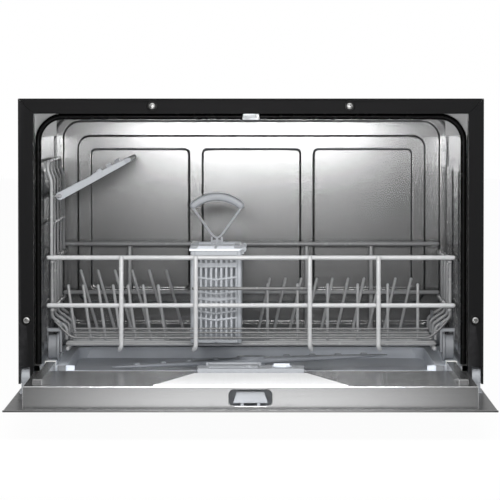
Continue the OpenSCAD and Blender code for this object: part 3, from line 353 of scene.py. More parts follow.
def gloss_finish(name, tone):
    made, tree, surface = start_finish(name, Coat_Weight=0.6, Coat_Roughness=0.04)
    film = place_effect(tree, "Water marks", roughness=0.12, amount=0.12, scale=40.0)
    mould = place_effect(tree, "Moulded grain", colour=rgba(tone), grain=500.0, roughness=0.1)
    feed(tree, surface, mould["Colour"], film["Roughness"])
    return made


def mesh_finish(name, tone):
    """Steel mesh: round holes in rows, drawn as dark dots of painted shade with a raised rim."""
    made, tree, surface = start_finish(name, Metallic=1.0)
    rims = remap(tree, cells(tree, 520.0, Randomness=0.0)["Distance"], 0.28, 0.34, 0.0, 1.0)
    # the holes are not cut: near-black dots paint the shade seen through them
    shaded_holes = mixed(tree, rims, (0.02, 0.02, 0.02, 1), rgba(tone))
    film = place_effect(tree, "Water marks", roughness=0.3, amount=0.2, scale=50.0)
    feed(tree, surface, shaded_holes, film["Roughness"], rims, 0.5, 0.0002)
    return made


def make_finishes(tones):
    steel, pale, wire = tones.stainless, tones.pale, tones.wire
    FINISHES.update({
        "coating": coated_finish("black_coating", tones.coating, 0.42),
        # the tub's walls take darker copies of the one stainless: painted shade, about half on the rear wall
        # and less deep on the side walls
        "tub": steel_finish("tub_steel_painted_shade", shade(steel, 0.52), ALONG_X, 0.2, marks=0.03, height=0.000002),
        "tub_side": steel_finish("tub_side_steel_painted_shade", shade(steel, 0.82), ALONG_Y, 0.22),
        "liner": steel_finish("liner_steel", steel, ALONG_X, 0.22, marks=0.04),
        # the door's raised field: a near-white, mostly non-metallic copy of the steel, painting its bright
        # sheen
        "slope": steel_finish("field_steel_painted_sheen", (0.86, 0.865, 0.87), ALONG_Y, 0.5, metallic=0.25),
        # the opening's walls behind the trim and the flange round the seal: darkened copies of the stainless,
        # painted shade, deepest on the walls
        "mouth": steel_finish("mouth_steel_painted_shade", shade(steel, 0.16), ALONG_X, 0.4),
        "flange": steel_finish("flange_steel_painted_shade", shade(steel, 0.52), ALONG_X, 0.35),
        # the door's outer sheet: a copy of the stainless at half, painted shade
        "skin": steel_finish("door_sheet_steel_painted_shade", shade(steel, 0.5), (5, 700, 700), 0.28),
        "zinc": zinc_finish("galvanised_steel", tones.galvanised, 0.34),
        "screw": steel_finish("screw_steel", (0.36, 0.36, 0.355), (300, 300, 300), 0.3),
        "spring": steel_finish("spring_steel", (0.42, 0.42, 0.43), (300, 10, 300), 0.3),
        "mesh": mesh_finish("filter_mesh", (0.45, 0.45, 0.46)),
        "rubber": plastic_finish("seal_rubber", tones.rubber, 0.26, grain=700.0, worn=(0.012, 0.012, 0.012),
                                 Specular_IOR_Level=0.12),
        "foot": plastic_finish("foot_rubber", (0.02, 0.02, 0.022), 0.7, grain=900.0),
        "basin": plastic_finish("basin_plastic", tones.basin, 0.36),
        "arm": plastic_finish("arm_plastic", (0.37, 0.39, 0.425), 0.38),
        # a lighter copy of the pale plastic for the cutlery lids: painted light from above
        "light": plastic_finish("lid_plastic_painted_light", shade(pale, 2.3), 0.36),
        "shelf": plastic_finish("shelf_plastic", shade(pale, 1.02), 0.4),
        # a lighter copy of the wire coating for the front rails and posts: painted highlight
        "rail": wire_finish("rail_coating_painted_highlight", shade(wire, 1.45)),
        "grey": plastic_finish("grey_plastic", shade(pale, 0.8), 0.4),
        "wheel": plastic_finish("wheel_plastic", shade(pale, 0.5), 0.4),
        "pale": plastic_finish("pale_plastic", pale, 0.4),
        "wire": wire_finish("wire_coating", wire),
        # a darker copy of the wire coating for the low front rails: painted shade
        "shaded_wire": wire_finish("shaded_wire_coating", shade(wire, 0.36)),
        "dark": plastic_finish("dark_plastic", tones.dark, 0.5),
        "white": plastic_finish("white_plastic", tones.white, 0.42),
        "gloss": gloss_finish("gloss_panel", tones.gloss),
    })


# ---- pieces ----


def soften(thing, width, segments=2, angle=35):
    """Rounds the edges that turn by more than an angle in degrees."""
    made = thing.modifiers.new("Soft edges", "BEVEL")
    made.width = width
    made.segments = segments
    made.limit_method = "ANGLE"
    made.angle_limit = math.radians(angle)


def thicken(thing, thickness, offset):
    made = thing.modifiers.new("Sheet", "SOLIDIFY")
    made.thickness = thickness
    made.offset = offset


def dress(node, finish, bevel=0.0, segments=2):
    """Gives a CAD node its finish and, if asked, soft edges."""
    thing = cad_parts[node]
    if not thing.material_slots:
        thing.data.materials.append(FINISHES[finish])
    for entry in thing.material_slots:
        entry.material = FINISHES[finish]
    if bevel:
        weld = thing.modifiers.new("Weld", "WELD")
        weld.merge_threshold = 0.000002
        soften(thing, bevel, segments, 40)


def dress_all(*rows):
    """Dresses the CAD nodes that each row names, with its finish and its soft edges."""
    for nodes, *look in rows:
        for node in nodes.split():
            dress(node, *look)


def finish_piece(name, bm, body, finish, nodes=(), smooth=40.0):
    """Makes an object of the mesh, with its finish, its body and the nodes it stands for."""
    mesh = bpy.data.meshes.new(name)
    bmesh.ops.recalc_face_normals(bm, faces=bm.faces)
    bm.to_mesh(mesh)
    bm.free()
    mesh.materials.append(FINISHES[finish])
    thing = bpy.data.objects.new(name, mesh)
    bpy.context.scene.collection.objects.link(thing)
    mesh.shade_smooth()
    mesh.set_sharp_from_angle(angle=math.radians(smooth))
    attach(thing, body)
    if nodes:
        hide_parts(*nodes)
    return thing


# ---- meshes ----

BOX_FACES = ((0, 1, 3, 2), (4, 6, 7, 5), (0, 4, 5, 1), (2, 3, 7, 6), (0, 2, 6, 4), (1, 5, 7, 3))


def around(count):
    return [2 * math.pi * i / count for i in range(count)]


def swell(value, power):
    """A sine or cosine pushed outwards, for a section between a circle and a rectangle."""
    return math.copysign(abs(value) ** power, value)


def taper(share, start):
    """1 up to start and then down to 0 at the end, along a quarter of an ellipse."""
    return math.sqrt(max(0.0, 1 - (max(share - start, 0) / (1 - start)) ** 2))


def skin(bm, rings, closed=True):
    """Joins rings of points one after another, and closes both ends if asked."""
    for near, far in zip(rings, rings[1:]):
        for i in range(len(near)):
            j = (i + 1) % len(near)
            bm.faces.new((near[i], near[j], far[j], far[i]))
    if closed:
        bm.faces.new(rings[0])
        bm.faces.new(list(reversed(rings[-1])))


def prism(bm, near, far):
    """A solid between two outlines of equal points."""
    skin(bm, [[bm.verts.new(p) for p in outline] for outline in (near, far)])


def rounded_path(points, bend):
    """The points with each corner turned into a short curve."""
    steps = 5
    path = [points[0]]
    for before, corner, after in zip(points, points[1:], points[2:]):
        back, on = before - corner, after - corner
        reach = min(bend, back.length * 0.45, on.length * 0.45)
        first, last = corner + back.normalized() * reach, corner + on.normalized() * reach
        for step in range(steps + 1):
            share = step / steps
            path.append(first.lerp(corner, share).lerp(corner.lerp(last, share), share))
    path.append(points[-1])
    return path


def add_tube(bm, stations, sides):
    """Skins circles along the stations, each a centre and a radius."""
    centres = [centre for centre, radius in stations]
    rings = []
    side = (centres[1] - centres[0]).normalized().orthogonal().normalized()
    for index, (centre, radius) in enumerate(stations):
        before = centres[max(index - 1, 0)]
        after = centres[min(index + 1, len(centres) - 1)]
        ahead = (after - before).normalized()
        side = (side - ahead * side.dot(ahead)).normalized()
        up = ahead.cross(side)
        rings.append([bm.verts.new(centre + (side * math.cos(turn) + up * math.sin(turn)) * radius)
                      for turn in around(sides)])
    skin(bm, rings)


def add_wire(bm, points, thickness, bend=0.007, sides=12):
    """A coated wire through the points, with rounded tips."""
    path = rounded_path([Vector(p) for p in points], bend)
    r = thickness / 2
    start, end = (path[1] - path[0]).normalized(), (path[-2] - path[-1]).normalized()
    tip = [(r * (1 - math.cos(a)), r * math.sin(a)) for a in map(math.radians, (12, 40, 65, 90))]
    stations = [(path[0] + start * inward, radius) for inward, radius in tip]
    stations += [(point, r) for point in path[1:-1]]
    stations += [(path[-1] + end * inward, radius) for inward, radius in reversed(tip)]
    add_tube(bm, stations, sides)


def add_box(bm, corners):
    """A box over eight corners: the last coordinate changes first."""
    made = [bm.verts.new(p) for p in corners]
    for face in BOX_FACES:
        bm.faces.new([made[i] for i in face])


def block(bm, low, high):
    """A box between two corners in the machine's millimetres."""
    spans = list(zip(low, high))
    add_box(bm, [at(x, y, z) for x in spans[0] for y in spans[1] for z in spans[2]])


def add_lathe(bm, centre, axis, profile, sides=48):
    """Turns (along, radius) pairs round an axis; a radius of 0 closes the end."""
    axis = Vector(axis)
    side = axis.orthogonal().normalized()
    up = axis.cross(side)
    rings = []
    for along, radius in profile:
        turns = around(sides) if radius > 0 else [0]
        rings.append([bm.verts.new(centre + axis * along + (side * math.cos(t) + up * math.sin(t)) * radius)
                      for t in turns])
    for near, far in zip(rings, rings[1:]):
        for i in range(sides):
            j = (i + 1) % sides
            face = [near[i % len(near)], near[j % len(near)], far[j % len(far)], far[i % len(far)]]
            corners = [v for k, v in enumerate(face) if v not in face[:k]]
            if len(corners) > 2:
                bm.faces.new(corners)


def pane_distance(x, z, half, low, top, r):
    """How far a point lies outside a rectangle with round corners, negative inside."""
    dx = abs(x) - (half - r)
    dz = abs(z - (low + top) / 2) - ((top - low) / 2 - r)
    return math.hypot(max(dx, 0), max(dz, 0)) + min(max(dx, dz), 0) - r


def ruled(low, high, zones, fine, coarse):
    """Places from low to high, close together inside the zones and far apart elsewhere."""
    near = 0.01
    marks = [low]
    while marks[-1] < high - near:
        here = marks[-1]
        step = fine if any(a - near <= here < b - near for a, b in zones) else coarse
        ahead = [a for a, b in zones if here + near < a < here + step]
        marks.append(min([here + step, high] + ahead))
    return marks


def step_in(distance, width):
    """0 outside an edge and 1 inside it, with a smooth slope of that width."""
    share = min(max(0.5 - distance / width, 0), 1)
    return share * share * (3 - 2 * share)


def corner_turn(half, top, corner, reach):
    """Points round the tub's upper left corner, each with the direction out of it."""
    for k in range(13):
        a = math.radians(180 - 7.5 * k)
        x, z = math.cos(a), math.sin(a)
        yield corner - half + reach * x, top - corner + reach * z, x, z


# ---- case ----


class DISHWASHER_OT_case(bpy.types.Operator):
    """Finishes the trim, the case panels, the screws, the feet and the connectors"""

    bl_idname = "dishwasher.case"
    bl_label = "Case"

    def execute(self, context):
        dress_all(
            ("trim_top trim_left trim_right", "coating", 0.0004),
            ("side_panel_left side_panel_right top_panel rear_panel hinge_brackets", "zinc"),
            ("base_pan", "coating"),
            ("feet", "foot", 0.0006),
            ("sump wash_pump drain_pump power_inlet", "dark", 0.0005),
            ("inlet_valve inlet_chamber control_module", "white", 0.0006),
            ("softener", "pale", 0.001),
            ("door_springs", "spring"))
        self.screws()
        return {"FINISHED"}

    def screws(self):
        """Four screws with domed heads and a socket in the middle, each in a dark ring that paints the shade
        of its seat recess.
        """
        head = [(0.018, 0), (0.018, 0.0019), (0, 0.0019), (0, 0.0039), (-0.0003, 0.004), (-0.0008, 0.0036),
                (-0.00115, 0.0027), (-0.0012, 0.0014), (-0.0006, 0.0010), (-0.0006, 0)]
        ring = [(0, 0.0042), (-0.0001, 0.0044), (-0.0001, 0.0064), (0, 0.0066), (0, 0.0042)]
        heads, rings = bmesh.new(), bmesh.new()
        for x, z in SCREWS:
            add_lathe(heads, at(x, -0.5, z), (0, 1, 0), head, 28)
            add_lathe(rings, at(x, -0.52, z), (0, 1, 0), ring, 28)
        finish_piece("domed_screws", heads, "cabinet", "screw", ["frame_screws"])
        # dark rings round the heads: painted shade of the seat recess
        finish_piece("screw_shade_rings", rings, "cabinet", "rubber")


# ---- tub ----


class DISHWASHER_OT_tub(bpy.types.Operator):
    """Builds the pressed walls, the mouth and the seal and finishes the rest of the tub"""

    bl_idname = "dishwasher.tub"
    bl_label = "Tub"

    def execute(self, context):
        dress_all(
            ("tub_wrapper", "tub_side", 0.0006),
            ("tub_base", "basin", 0.0012, 3),
            ("door_striker", "zinc", 0.0006),
            ("rail_ends", "white", 0.0008),
            ("fine_filter", "mesh"),
            ("filter_cylinder", "dark", 0.0006),
            ("salt_cap", "pale", 0.0008))
        self.rear_wall(context.scene.dishwasher_sizes)
        self.side_presses()
        self.corner_seam()
        self.mouth()
        self.painted_shade_strips()
        self.seal()
        return {"FINISHED"}

    def rear_wall(self, sizes):
        """The pressed sheet: a field, a raised field in it and three pads, with sloping edges."""
        deep, slope = sizes.emboss * 1000, sizes.press_width * 1000
        fine, coarse = sizes.wall_step * 1000, 7.0
        # the fine zones cover each slope and two steps beyond it
        right = ruled(0, WALL_HALF, [(64, 71), (82.5, 93), (216, WALL_HALF)], fine, coarse)
        columns = [-x for x in reversed(right[1:])] + right
        rows = ruled(62.5, WALL_TOP, [(96.5, 155), (330, WALL_TOP)], fine, coarse)
        # each pressing: its depth and middle, then its half width, bottom, top and corner radius
        presses = [(deep, 0, 259.5, 100, 377.8, 25), (1 - deep, 0, 239.2, 128, 357.4, 17)]
        presses += [(deep - 1, pad * 153.5, 67.5, 146.5, 339, 7) for pad in (-1, 0, 1)]
        bm = bmesh.new()
        grid = {}
        for i, x in enumerate(columns):
            for j, z in enumerate(rows):
                place = self.in_corner(x, z, fine)
                if place:
                    px, pz = place
                    y = WALL_Y + sum(depth * step_in(pane_distance(px - middle, pz, *pane), slope)
                                     for depth, middle, *pane in presses)
                    grid[i, j] = bm.verts.new(at(px, y, pz))
        for i in range(len(columns) - 1):
            for j in range(len(rows) - 1):
                corners = [grid[k] for k in ((i, j), (i + 1, j), (i + 1, j + 1), (i, j + 1)) if k in grid]
                if len(corners) > 2:
                    bm.faces.new(corners)
        wall = finish_piece("pressed_rear_wall", bm, "cabinet", "tub", ["tub_rear_wall"],
                            smooth=80)
        thicken(wall, 0.0009, 1.0 if wall.data.polygons[0].normal.y > 0 else -1.0)

    @staticmethod
    def in_corner(x, z, fine):
        """The point, drawn in to the wall's round corner, or None where it lies well outside."""
        across, over = abs(x) - WALL_HALF + WALL_CORNER, z - WALL_TOP + WALL_CORNER
        out = math.hypot(across, over)
        if across <= 0 or over <= 0 or out <= WALL_CORNER:
            return x, z
        if out > WALL_CORNER + fine * 1.5:
            return None
        keep = WALL_CORNER / out
        return math.copysign(WALL_HALF - WALL_CORNER + across * keep, x), WALL_TOP - WALL_CORNER + over * keep

    def side_presses(self):
        """A panel pressed into each side wall in two steps, with sloping edges."""
        proud = 0.12
        # depth in the tub with how far the panel stands in there, then height with its share of that
        steps = [(106, proud), (108, 0.3), (110, 1.6), (240.5, 1.6), (243, 3.2), (396, 3.2), (401, proud)]
        heights = [(78, 0.0), (82, 1.0), (314, 1.0), (318, 0.0)]
        for name, side in (("left", -1), ("right", 1)):
            bm = bmesh.new()
            rows = [[bm.verts.new(at(side * (TUB_HALF - proud - (inward - proud) * share), y, z))
                     for y, inward in steps] for z, share in heights]
            for low, high in zip(rows, rows[1:]):
                for i in range(len(steps) - 1):
                    bm.faces.new((low[i], low[i + 1], high[i + 1], high[i]))
            panel = finish_piece("side_press_" + name, bm, "cabinet", "tub_side", smooth=30)
            thicken(panel, 0.0001, -1.0 if panel.data.polygons[0].normal.x * side < 0 else 1.0)
            soften(panel, 0.0006, 2, 12)

    def corner_seam(self):
        """The folded seam that runs round the corner between the rear wall and the tub."""
        inset, y, thickness = 1.5, 428.4, 0.0014
        points = [at(inset - TUB_HALF, y, 74)]
        for x, z, _, _ in corner_turn(TUB_HALF, TUB_TOP, TUB_CORNER, TUB_CORNER - inset):
            points.append(at(x, y, z))
        points += [Vector((-p.x, p.y, p.z)) for p in reversed(points)]
        bm = bmesh.new()
        add_tube(bm, [(p, thickness) for p in points], 10)
        finish_piece("corner_seam", bm, "cabinet", "tub", smooth=60)

    def mouth(self):
        """The lining of the opening, in darkened copies of the steel for painted shade: its walls behind the
        trim and the flange round the seal.
        """
        outer, inner, low, high = 278.2, 250.0, 66.6, 390.7
        bm = bmesh.new()
        for side in (-1, 1):
            block(bm, (side * (outer - 0.15), 14.5, low), (side * outer, 38.6, high))
        block(bm, (0.3 - outer, 14.5, high - 0.15), (outer - 0.3, 38.6, high))
        finish_piece("mouth_walls", bm, "cabinet", "mouth", smooth=30)
        bm = bmesh.new()
        for side in (-1, 1):
            block(bm, (side * inner, 38.72, 362), (side * (outer - 0.2), 38.92, high - 0.2))
            block(bm, (side * 271.6, 38.72, low), (side * (outer - 0.2), 38.92, 361.9))
        block(bm, (-inner + 0.1, 38.72, 386.2), (inner - 0.1, 38.92, high - 0.2))
        finish_piece("mouth_flange", bm, "cabinet", "flange", smooth=30)

    def painted_shade_strips(self):
        """Dark grey strips on the front edge of the base, beside each runner: painted shade over faces that
        the lamps light.
        """
        bm = bmesh.new()
        for side in (-1, 1):
            for inner, outer in ((238.2, 248.8), (265.2, 271.0)):
                block(bm, (side * inner, 26.5, 50), (side * outer, 26.9, 66.3))
                block(bm, (side * inner, 26.9, 66.05), (side * outer, 35.0, 66.3))
        soften(finish_piece("painted_shade_strips", bm, "cabinet", "wheel", smooth=35), 0.0001, 1)

    def seal(self):
        """A rubber seal with a bulb and a lip, swept round the door opening in two halves."""
        bulb = [(8.0, 38.6), (8.0, 32.0), (6.9, 28.8), (5.2, 27.2), (3.9, 26.75), (2.7, 27.3), (2.1, 28.7),
                (1.5, 29.9), (0.6, 29.4), (0.1, 30.2), (0.1, 33.5), (1.2, 34.6), (1.2, 38.6)]
        half, top, corner = 269.2, 382.8, 28.0
        route = [(-half, 68.2, -1, 0), *corner_turn(half, top, corner, corner), (-11.0, top, 0, 1)]
        for name, side in (("seal_left", -1), ("seal_right", 1)):
            bm = bmesh.new()
            skin(bm, [[bm.verts.new(at(-side * (x + dx * out), y, z + dz * out)) for out, y in bulb]
                      for x, z, dx, dz in route])
            finish_piece(name, bm, "cabinet", "rubber", ["door_seal"], smooth=50)


# ---- door ----


class DISHWASHER_OT_door(bpy.types.Operator):
    """Finishes the door's sheets, hinges, latch, dispenser and controls"""

    bl_idname = "dishwasher.door"
    bl_label = "Door"

    def execute(self, context):
        dress_all(
            ("door_skin", "skin", 0.0003),
            ("door_liner", "liner", 0.0012, 3),
            ("hinge_arms detergent_lid", "grey", 0.0006),
            ("latch_case", "pale", 0.0004),
            ("latch_catch", "pale", 0.0006),
            ("dispenser_body", "grey", 0.0008),
            ("rinse_cap", "basin", 0.0006),
            ("fascia", "gloss", 0.0003),
            ("grip_cup", "dark", 0.0008),
            ("power_button program_button start_button", "screw", 0.0004))
        self.slope()
        return {"FINISHED"}

    def slope(self):
        """The field that leads up to the dispenser, with a soft rim, in a near-white, mostly non-metallic
        copy of the door steel: a painted sheen.
        """
        # x, distance from the hinge, and the way in which the rim draws in from there
        rim = [(-71.5, 110.1, 1), (71.5, 110.1, 1), (117.5, 321.6, -1), (-117.5, 321.6, -1)]
        bm = bmesh.new()
        rings = []
        for inset, v in ((0.0, 28.5), (0.3, 29.15), (1.2, 29.3)):
            rings.append([bm.verts.new(on_door(x - math.copysign(inset, x), u + inset * inward, v))
                          for x, u, inward in rim])
        skin(bm, rings, closed=False)
        bm.faces.new(rings[-1])
        finish_piece("door_slope", bm, "door", "slope", smooth=50)


# ---- basket ----


class DISHWASHER_OT_basket(bpy.types.Operator):
    """Bends the basket's coated wires, its tines and the side rack"""

    bl_idname = "dishwasher.basket"
    bl_label = "Basket"

    def execute(self, context):
        sizes = context.scene.dishwasher_sizes
        self.rail, self.thin, self.tine, self.slim = sizes.rail, sizes.wire, sizes.tine, sizes.rack_wire
        self.sides = sizes.wire_sides
        self.front()
        self.rear()
        self.flanks()
        self.floor()
        # each row of tines: its first foot, step, count, lean and top
        self.tines("tines_left", [(-241.9, 19.8, 7, 10.6, 164.5), (-231.4, 23.2, 6, 25, 177.8)])
        self.tines("tines_right", [(21.6, 39.7, 6, 0, 165.8), (25.3, 21.3, 10, -17, 167)])
        self.rack()
        return {"FINISHED"}

    def run(self, bm, points, thickness, bend=0.007):
        """Bends a wire through points in the machine's millimetres."""
        add_wire(bm, [at(*p) for p in points], thickness, bend, self.sides)

    def close(self, name, bm, node, finish="wire"):
        finish_piece(name, bm, "basket", finish, [node], smooth=60)

    def front(self):
        """Two thick rails, four posts that hook under the floor, and the slim low rails; the rails and posts
        take a lighter copy of the wire coating, painted highlight, and the low rails a darker copy, painted
        shade.
        """
        rails, low_rails = bmesh.new(), bmesh.new()
        low_y, post_y = FRONT_Y - 0.4, FRONT_Y - 4.8
        for z in (RAIL_Z, MID_Z):
            self.run(rails, [(-264.5, FRONT_Y, z), (264.5, FRONT_Y, z)], self.rail)
        self.run(low_rails, [(POSTS[1] - 5, low_y, 164.5), (POSTS[2] + 5, low_y, 164.5)], self.thin)
        for z in (107.4, 112.6):
            self.run(low_rails, [(-TIE_X, low_y, z), (TIE_X, low_y, z)], self.slim)
        self.run(low_rails, [(-254, low_y, 123), (-240, low_y, 108), (-TIE_X, low_y, 100.7),
                             (TIE_X, low_y, 100.7), (240, low_y, 108), (254, low_y, 123)],
                 self.slim + 0.0006, 0.005)
        for x in POSTS:
            hook = x + math.copysign(2.4, x)
            self.run(rails, [(x, post_y, RAIL_Z + 3), (x, post_y, RUN_Z + 4), (hook, FRONT_Y, RUN_Z),
                             (hook, FRONT_Y + 5, RUN_Z)], self.rail, 0.003)
        self.close("basket_front_rails", rails, "basket_front", "rail")
        self.close("basket_front_wires", low_rails, "basket_front", "shaded_wire")

    def rear(self):
        bm = bmesh.new()
        for z in (RAIL_Z + 5, MID_Z):
            self.run(bm, [(-SIDE_X - 1, BACK_Y, z), (SIDE_X + 1, BACK_Y, z)], self.rail)
        for x in POSTS:
            self.run(bm, [(x, BACK_Y + 4.8, RAIL_Z + 8), (x, BACK_Y + 4.8, RUN_Z - 2.7)], self.rail)
        self.close("basket_rear_wires", bm, "basket_rear")

    def flanks(self):
        bm = bmesh.new()
        for side in (-1, 1):
            x = side * (SIDE_X - 1)
            for z in (RAIL_Z - 5.4, MID_Z - 5.4):
                self.run(bm, [(x, FRONT_Y + 3, z), (x, BACK_Y - 3, z)], self.rail)
            for y in FLOOR_Y:
                self.run(bm, [(side * (SIDE_X + 3), y, RAIL_Z - 2), (side * (SIDE_X + 3), y, 123),
                              (side * TOE_X, y, 110), (side * TOE_X, y, FLOOR_Z + 2.6)], self.thin, 0.004)
        self.close("basket_side_wires", bm, "basket_sides")

    def floor(self):
        bm = bmesh.new()
        for y in FLOOR_Y + (100,):
            self.run(bm, [(-TOE_X, y, FLOOR_Z), (TOE_X, y, FLOOR_Z)], self.thin)
        # the lengthwise wires hook on to the posts, and the outer two lie beside them
        runs = [(x + math.copysign(2.4, x), FRONT_Y + 5.3) for x in POSTS]
        runs += [(4 - TOE_X, FRONT_Y + 12), (TOE_X - 4, FRONT_Y + 12)]
        for x, near in runs:
            self.run(bm, [(x, near, RUN_Z), (x, BACK_Y + 1.8, RUN_Z)], self.rail)
        self.close("basket_floor_wires", bm, "basket_floor")

    def tines(self, node, rows):
        bm = bmesh.new()
        for y, (first, step, count, lean, top) in zip(TINE_ROWS_Y, rows):
            for i in range(count):
                x = first + i * step
                self.run(bm, [(x + lean, y, FLOOR_Z), (x, y, top)], self.tine)
            z = RUN_Z + 5.3
            last = first + (count - 1) * step
            self.run(bm, [(first + lean - 5, y + 4.7, z), (last + lean + 5, y + 4.7, z)], self.thin)
        self.close(node + "_wires", bm, node)

    def rack(self):
        """The side rack's hoop, its slim uprights, and the rod and brackets of the cup shelf."""
        bm = bmesh.new()
        x, near, far, low = -SIDE_X, FRONT_Y + 8, BACK_Y - 8, 247
        upright = [(x, 202.0), (x, 304), (x - 5, 316), (x - 5, 328)]
        hoop = [(a, near, z) for a, z in upright] + [(a, far, z) for a, z in reversed(upright)]
        self.run(bm, hoop, self.thin, 0.006)
        self.run(bm, [(x, near, low), (x, far, low)], self.thin)
        for i in range(1, 4):
            y = near + i * (far - near) / 4
            self.run(bm, [(a, y, z) for a, z in upright], self.slim, 0.003)
        ends = (89.4, 334.6)
        self.run(bm, [(SHELF_X, ends[0], SHELF_Z), (SHELF_X, ends[1], SHELF_Z)], 0.0059)
        for y in ends:
            self.run(bm, [(SHELF_X, y, SHELF_Z), (x, y, SHELF_Z), (x, y, low)], self.slim, 0.003)
        self.close("side_rack_wires", bm, "side_rack")


class DISHWASHER_OT_wheels(bpy.types.Operator):
    """Turns the basket's four wheels and finishes their forks"""

    bl_idname = "dishwasher.wheels"
    bl_label = "Wheels"

    def execute(self, context):
        r = context.scene.dishwasher_sizes.wheel_radius
        dress("wheel_forks", "wheel", 0.0005)
        # inner face with its flange, tread, outer face with its hollow, and the bore
        profile = [(-0.0034, 0.00305), (-0.0034, 0.0062), (-0.0028, 0.0068), (-0.0028, r - 0.0015),
                   (-0.0034, r - 0.001), (-0.0034, r + 0.0018), (-0.0029, r + 0.0024), (-0.0008, r + 0.0024),
                   (-0.0003, r + 0.0018), (0.0002, r + 0.0001), (0.0008, r), (0.0104, r), (0.011, r - 0.0006),
                   (0.011, r - 0.0024), (0.0105, r - 0.003), (0.0082, r - 0.0034), (0.008, 0.0072),
                   (0.0103, 0.0064), (0.0108, 0.0058), (0.0108, 0.00305), (-0.0034, 0.00305)]
        for end, y in (("front", 67.2), ("rear", 359.4)):
            for name, side in (("left", -1), ("right", 1)):
                bm = bmesh.new()
                centre = at(side * 251, y, 88.3)
                add_lathe(bm, centre, (side, 0, 0), profile, 56)
                self.ribs(bm, centre, side, 0.0066, r - 0.0032)
                node = "wheel_%s_%s" % (end, name)
                finish_piece("turned_" + node, bm, node, "wheel", [node], smooth=35)
        return {"FINISHED"}

    @staticmethod
    def ribs(bm, centre, side, inner, outer):
        """Six ribs in the hollow of the wheel's outer face."""
        half = 0.0008
        faces = [centre + Vector((side * away, 0, 0)) for away in (0.0078, 0.0102)]
        for a in around(6):
            out, across = Vector((0, math.cos(a), math.sin(a))), Vector((0, -math.sin(a), math.cos(a)))
            add_box(bm, [face + out * reach + across * s * half for face in faces for reach in (inner, outer)
                         for s in (-1, 1)])


class DISHWASHER_OT_shelf(bpy.types.Operator):
    """Builds the folding cup shelf with its slotted deck, end cheeks and a darker grey tip of painted shade
    """

    bl_idname = "dishwasher.shelf"
    bl_label = "Cup shelf"

    def execute(self, context):
        bm = bmesh.new()
        nose = [(-5.2 * math.sin(a), 5.2 * math.cos(a)) for a in map(math.radians, range(15, 180, 15))]
        cheek = [(0, -5.2), (95, -3.0), (95, 3.8), (0, 5.2)] + nose
        for near, far in ((0, 3), (237, 240)):
            self.plate(bm, cheek, near, far)
        # spine round the pivot, leaving room for its rod
        for low, high in ((3.2, 5.1), (-5.1, -3.2)):
            self.slab(bm, (-3.5, 3, low), (6, 237, high))
        self.slab(bm, (3.4, 3, -5.0), (6.4, 237, 5.0))
        # deck: bars along it, bars across it and ribs under it
        for first, last in [(6, 24)] + [(31 + 13 * j, 37 + 13 * j) for j in range(5)] + [(92, 95)]:
            self.slab(bm, (first, 3, 1.6), (last, 237, 3.9))
        for first, last in ((3, 14), (70, 90), (146, 166), (222, 237)):
            self.slab(bm, (20, first, 1.7), (93, last, 3.8))
        for y in (80, 156):
            self.slab(bm, (6, y - 1, -3.0), (94, y + 1, 2))
        # rests for the cups
        for x, y, high in ((57, 0.2, 7.4), (50, 0.2, 5.6), (68, 76, 8.0), (78, 152, 8.6)):
            self.slab(bm, (x, y, 3.5), (x + 7, y + 3, high))
        shelf = finish_piece("moulded_cup_shelf", bm, "cup_shelf", "shelf", ["cup_shelf"],
                             smooth=35)
        soften(shelf, 0.0005)
        # the tip: a darker grey copy of the pale plastic, painted shade on the shelf's rounded nose
        bm = bmesh.new()
        round_edge = [(101.0 + 3.2 * math.cos(a), 0.4 + 3.1 * math.sin(a))
                      for a in map(math.radians, range(-75, 90, 15))]
        self.plate(bm, [(95.2, -2.9), (101.0, -2.6)] + round_edge + [(101.0, 3.6), (95.2, 3.7)], 0.5, 239.5)
        soften(finish_piece("shelf_tip", bm, "cup_shelf", "grey", smooth=35), 0.0004)
        return {"FINISHED"}

    @staticmethod
    def on_shelf(x, y, z):
        """A point given on the shelf: x from its pivot, y along it, z above it."""
        ahead, up = math.cos(SHELF_TILT), math.sin(SHELF_TILT)
        return at(SHELF_X + x * ahead - z * up, SHELF_Y + y, SHELF_Z + x * up + z * ahead)

    def plate(self, bm, outline, near, far):
        """An outline across the shelf, drawn out from near to far along it."""
        prism(bm, *[[self.on_shelf(x, y, z) for x, z in outline] for y in (near, far)])

    def slab(self, bm, low, high):
        outline = [(low[0], low[2]), (high[0], low[2]), (high[0], high[2]), (low[0], high[2])]
        self.plate(bm, outline, low[1], high[1])


# ---- cutlery basket ----


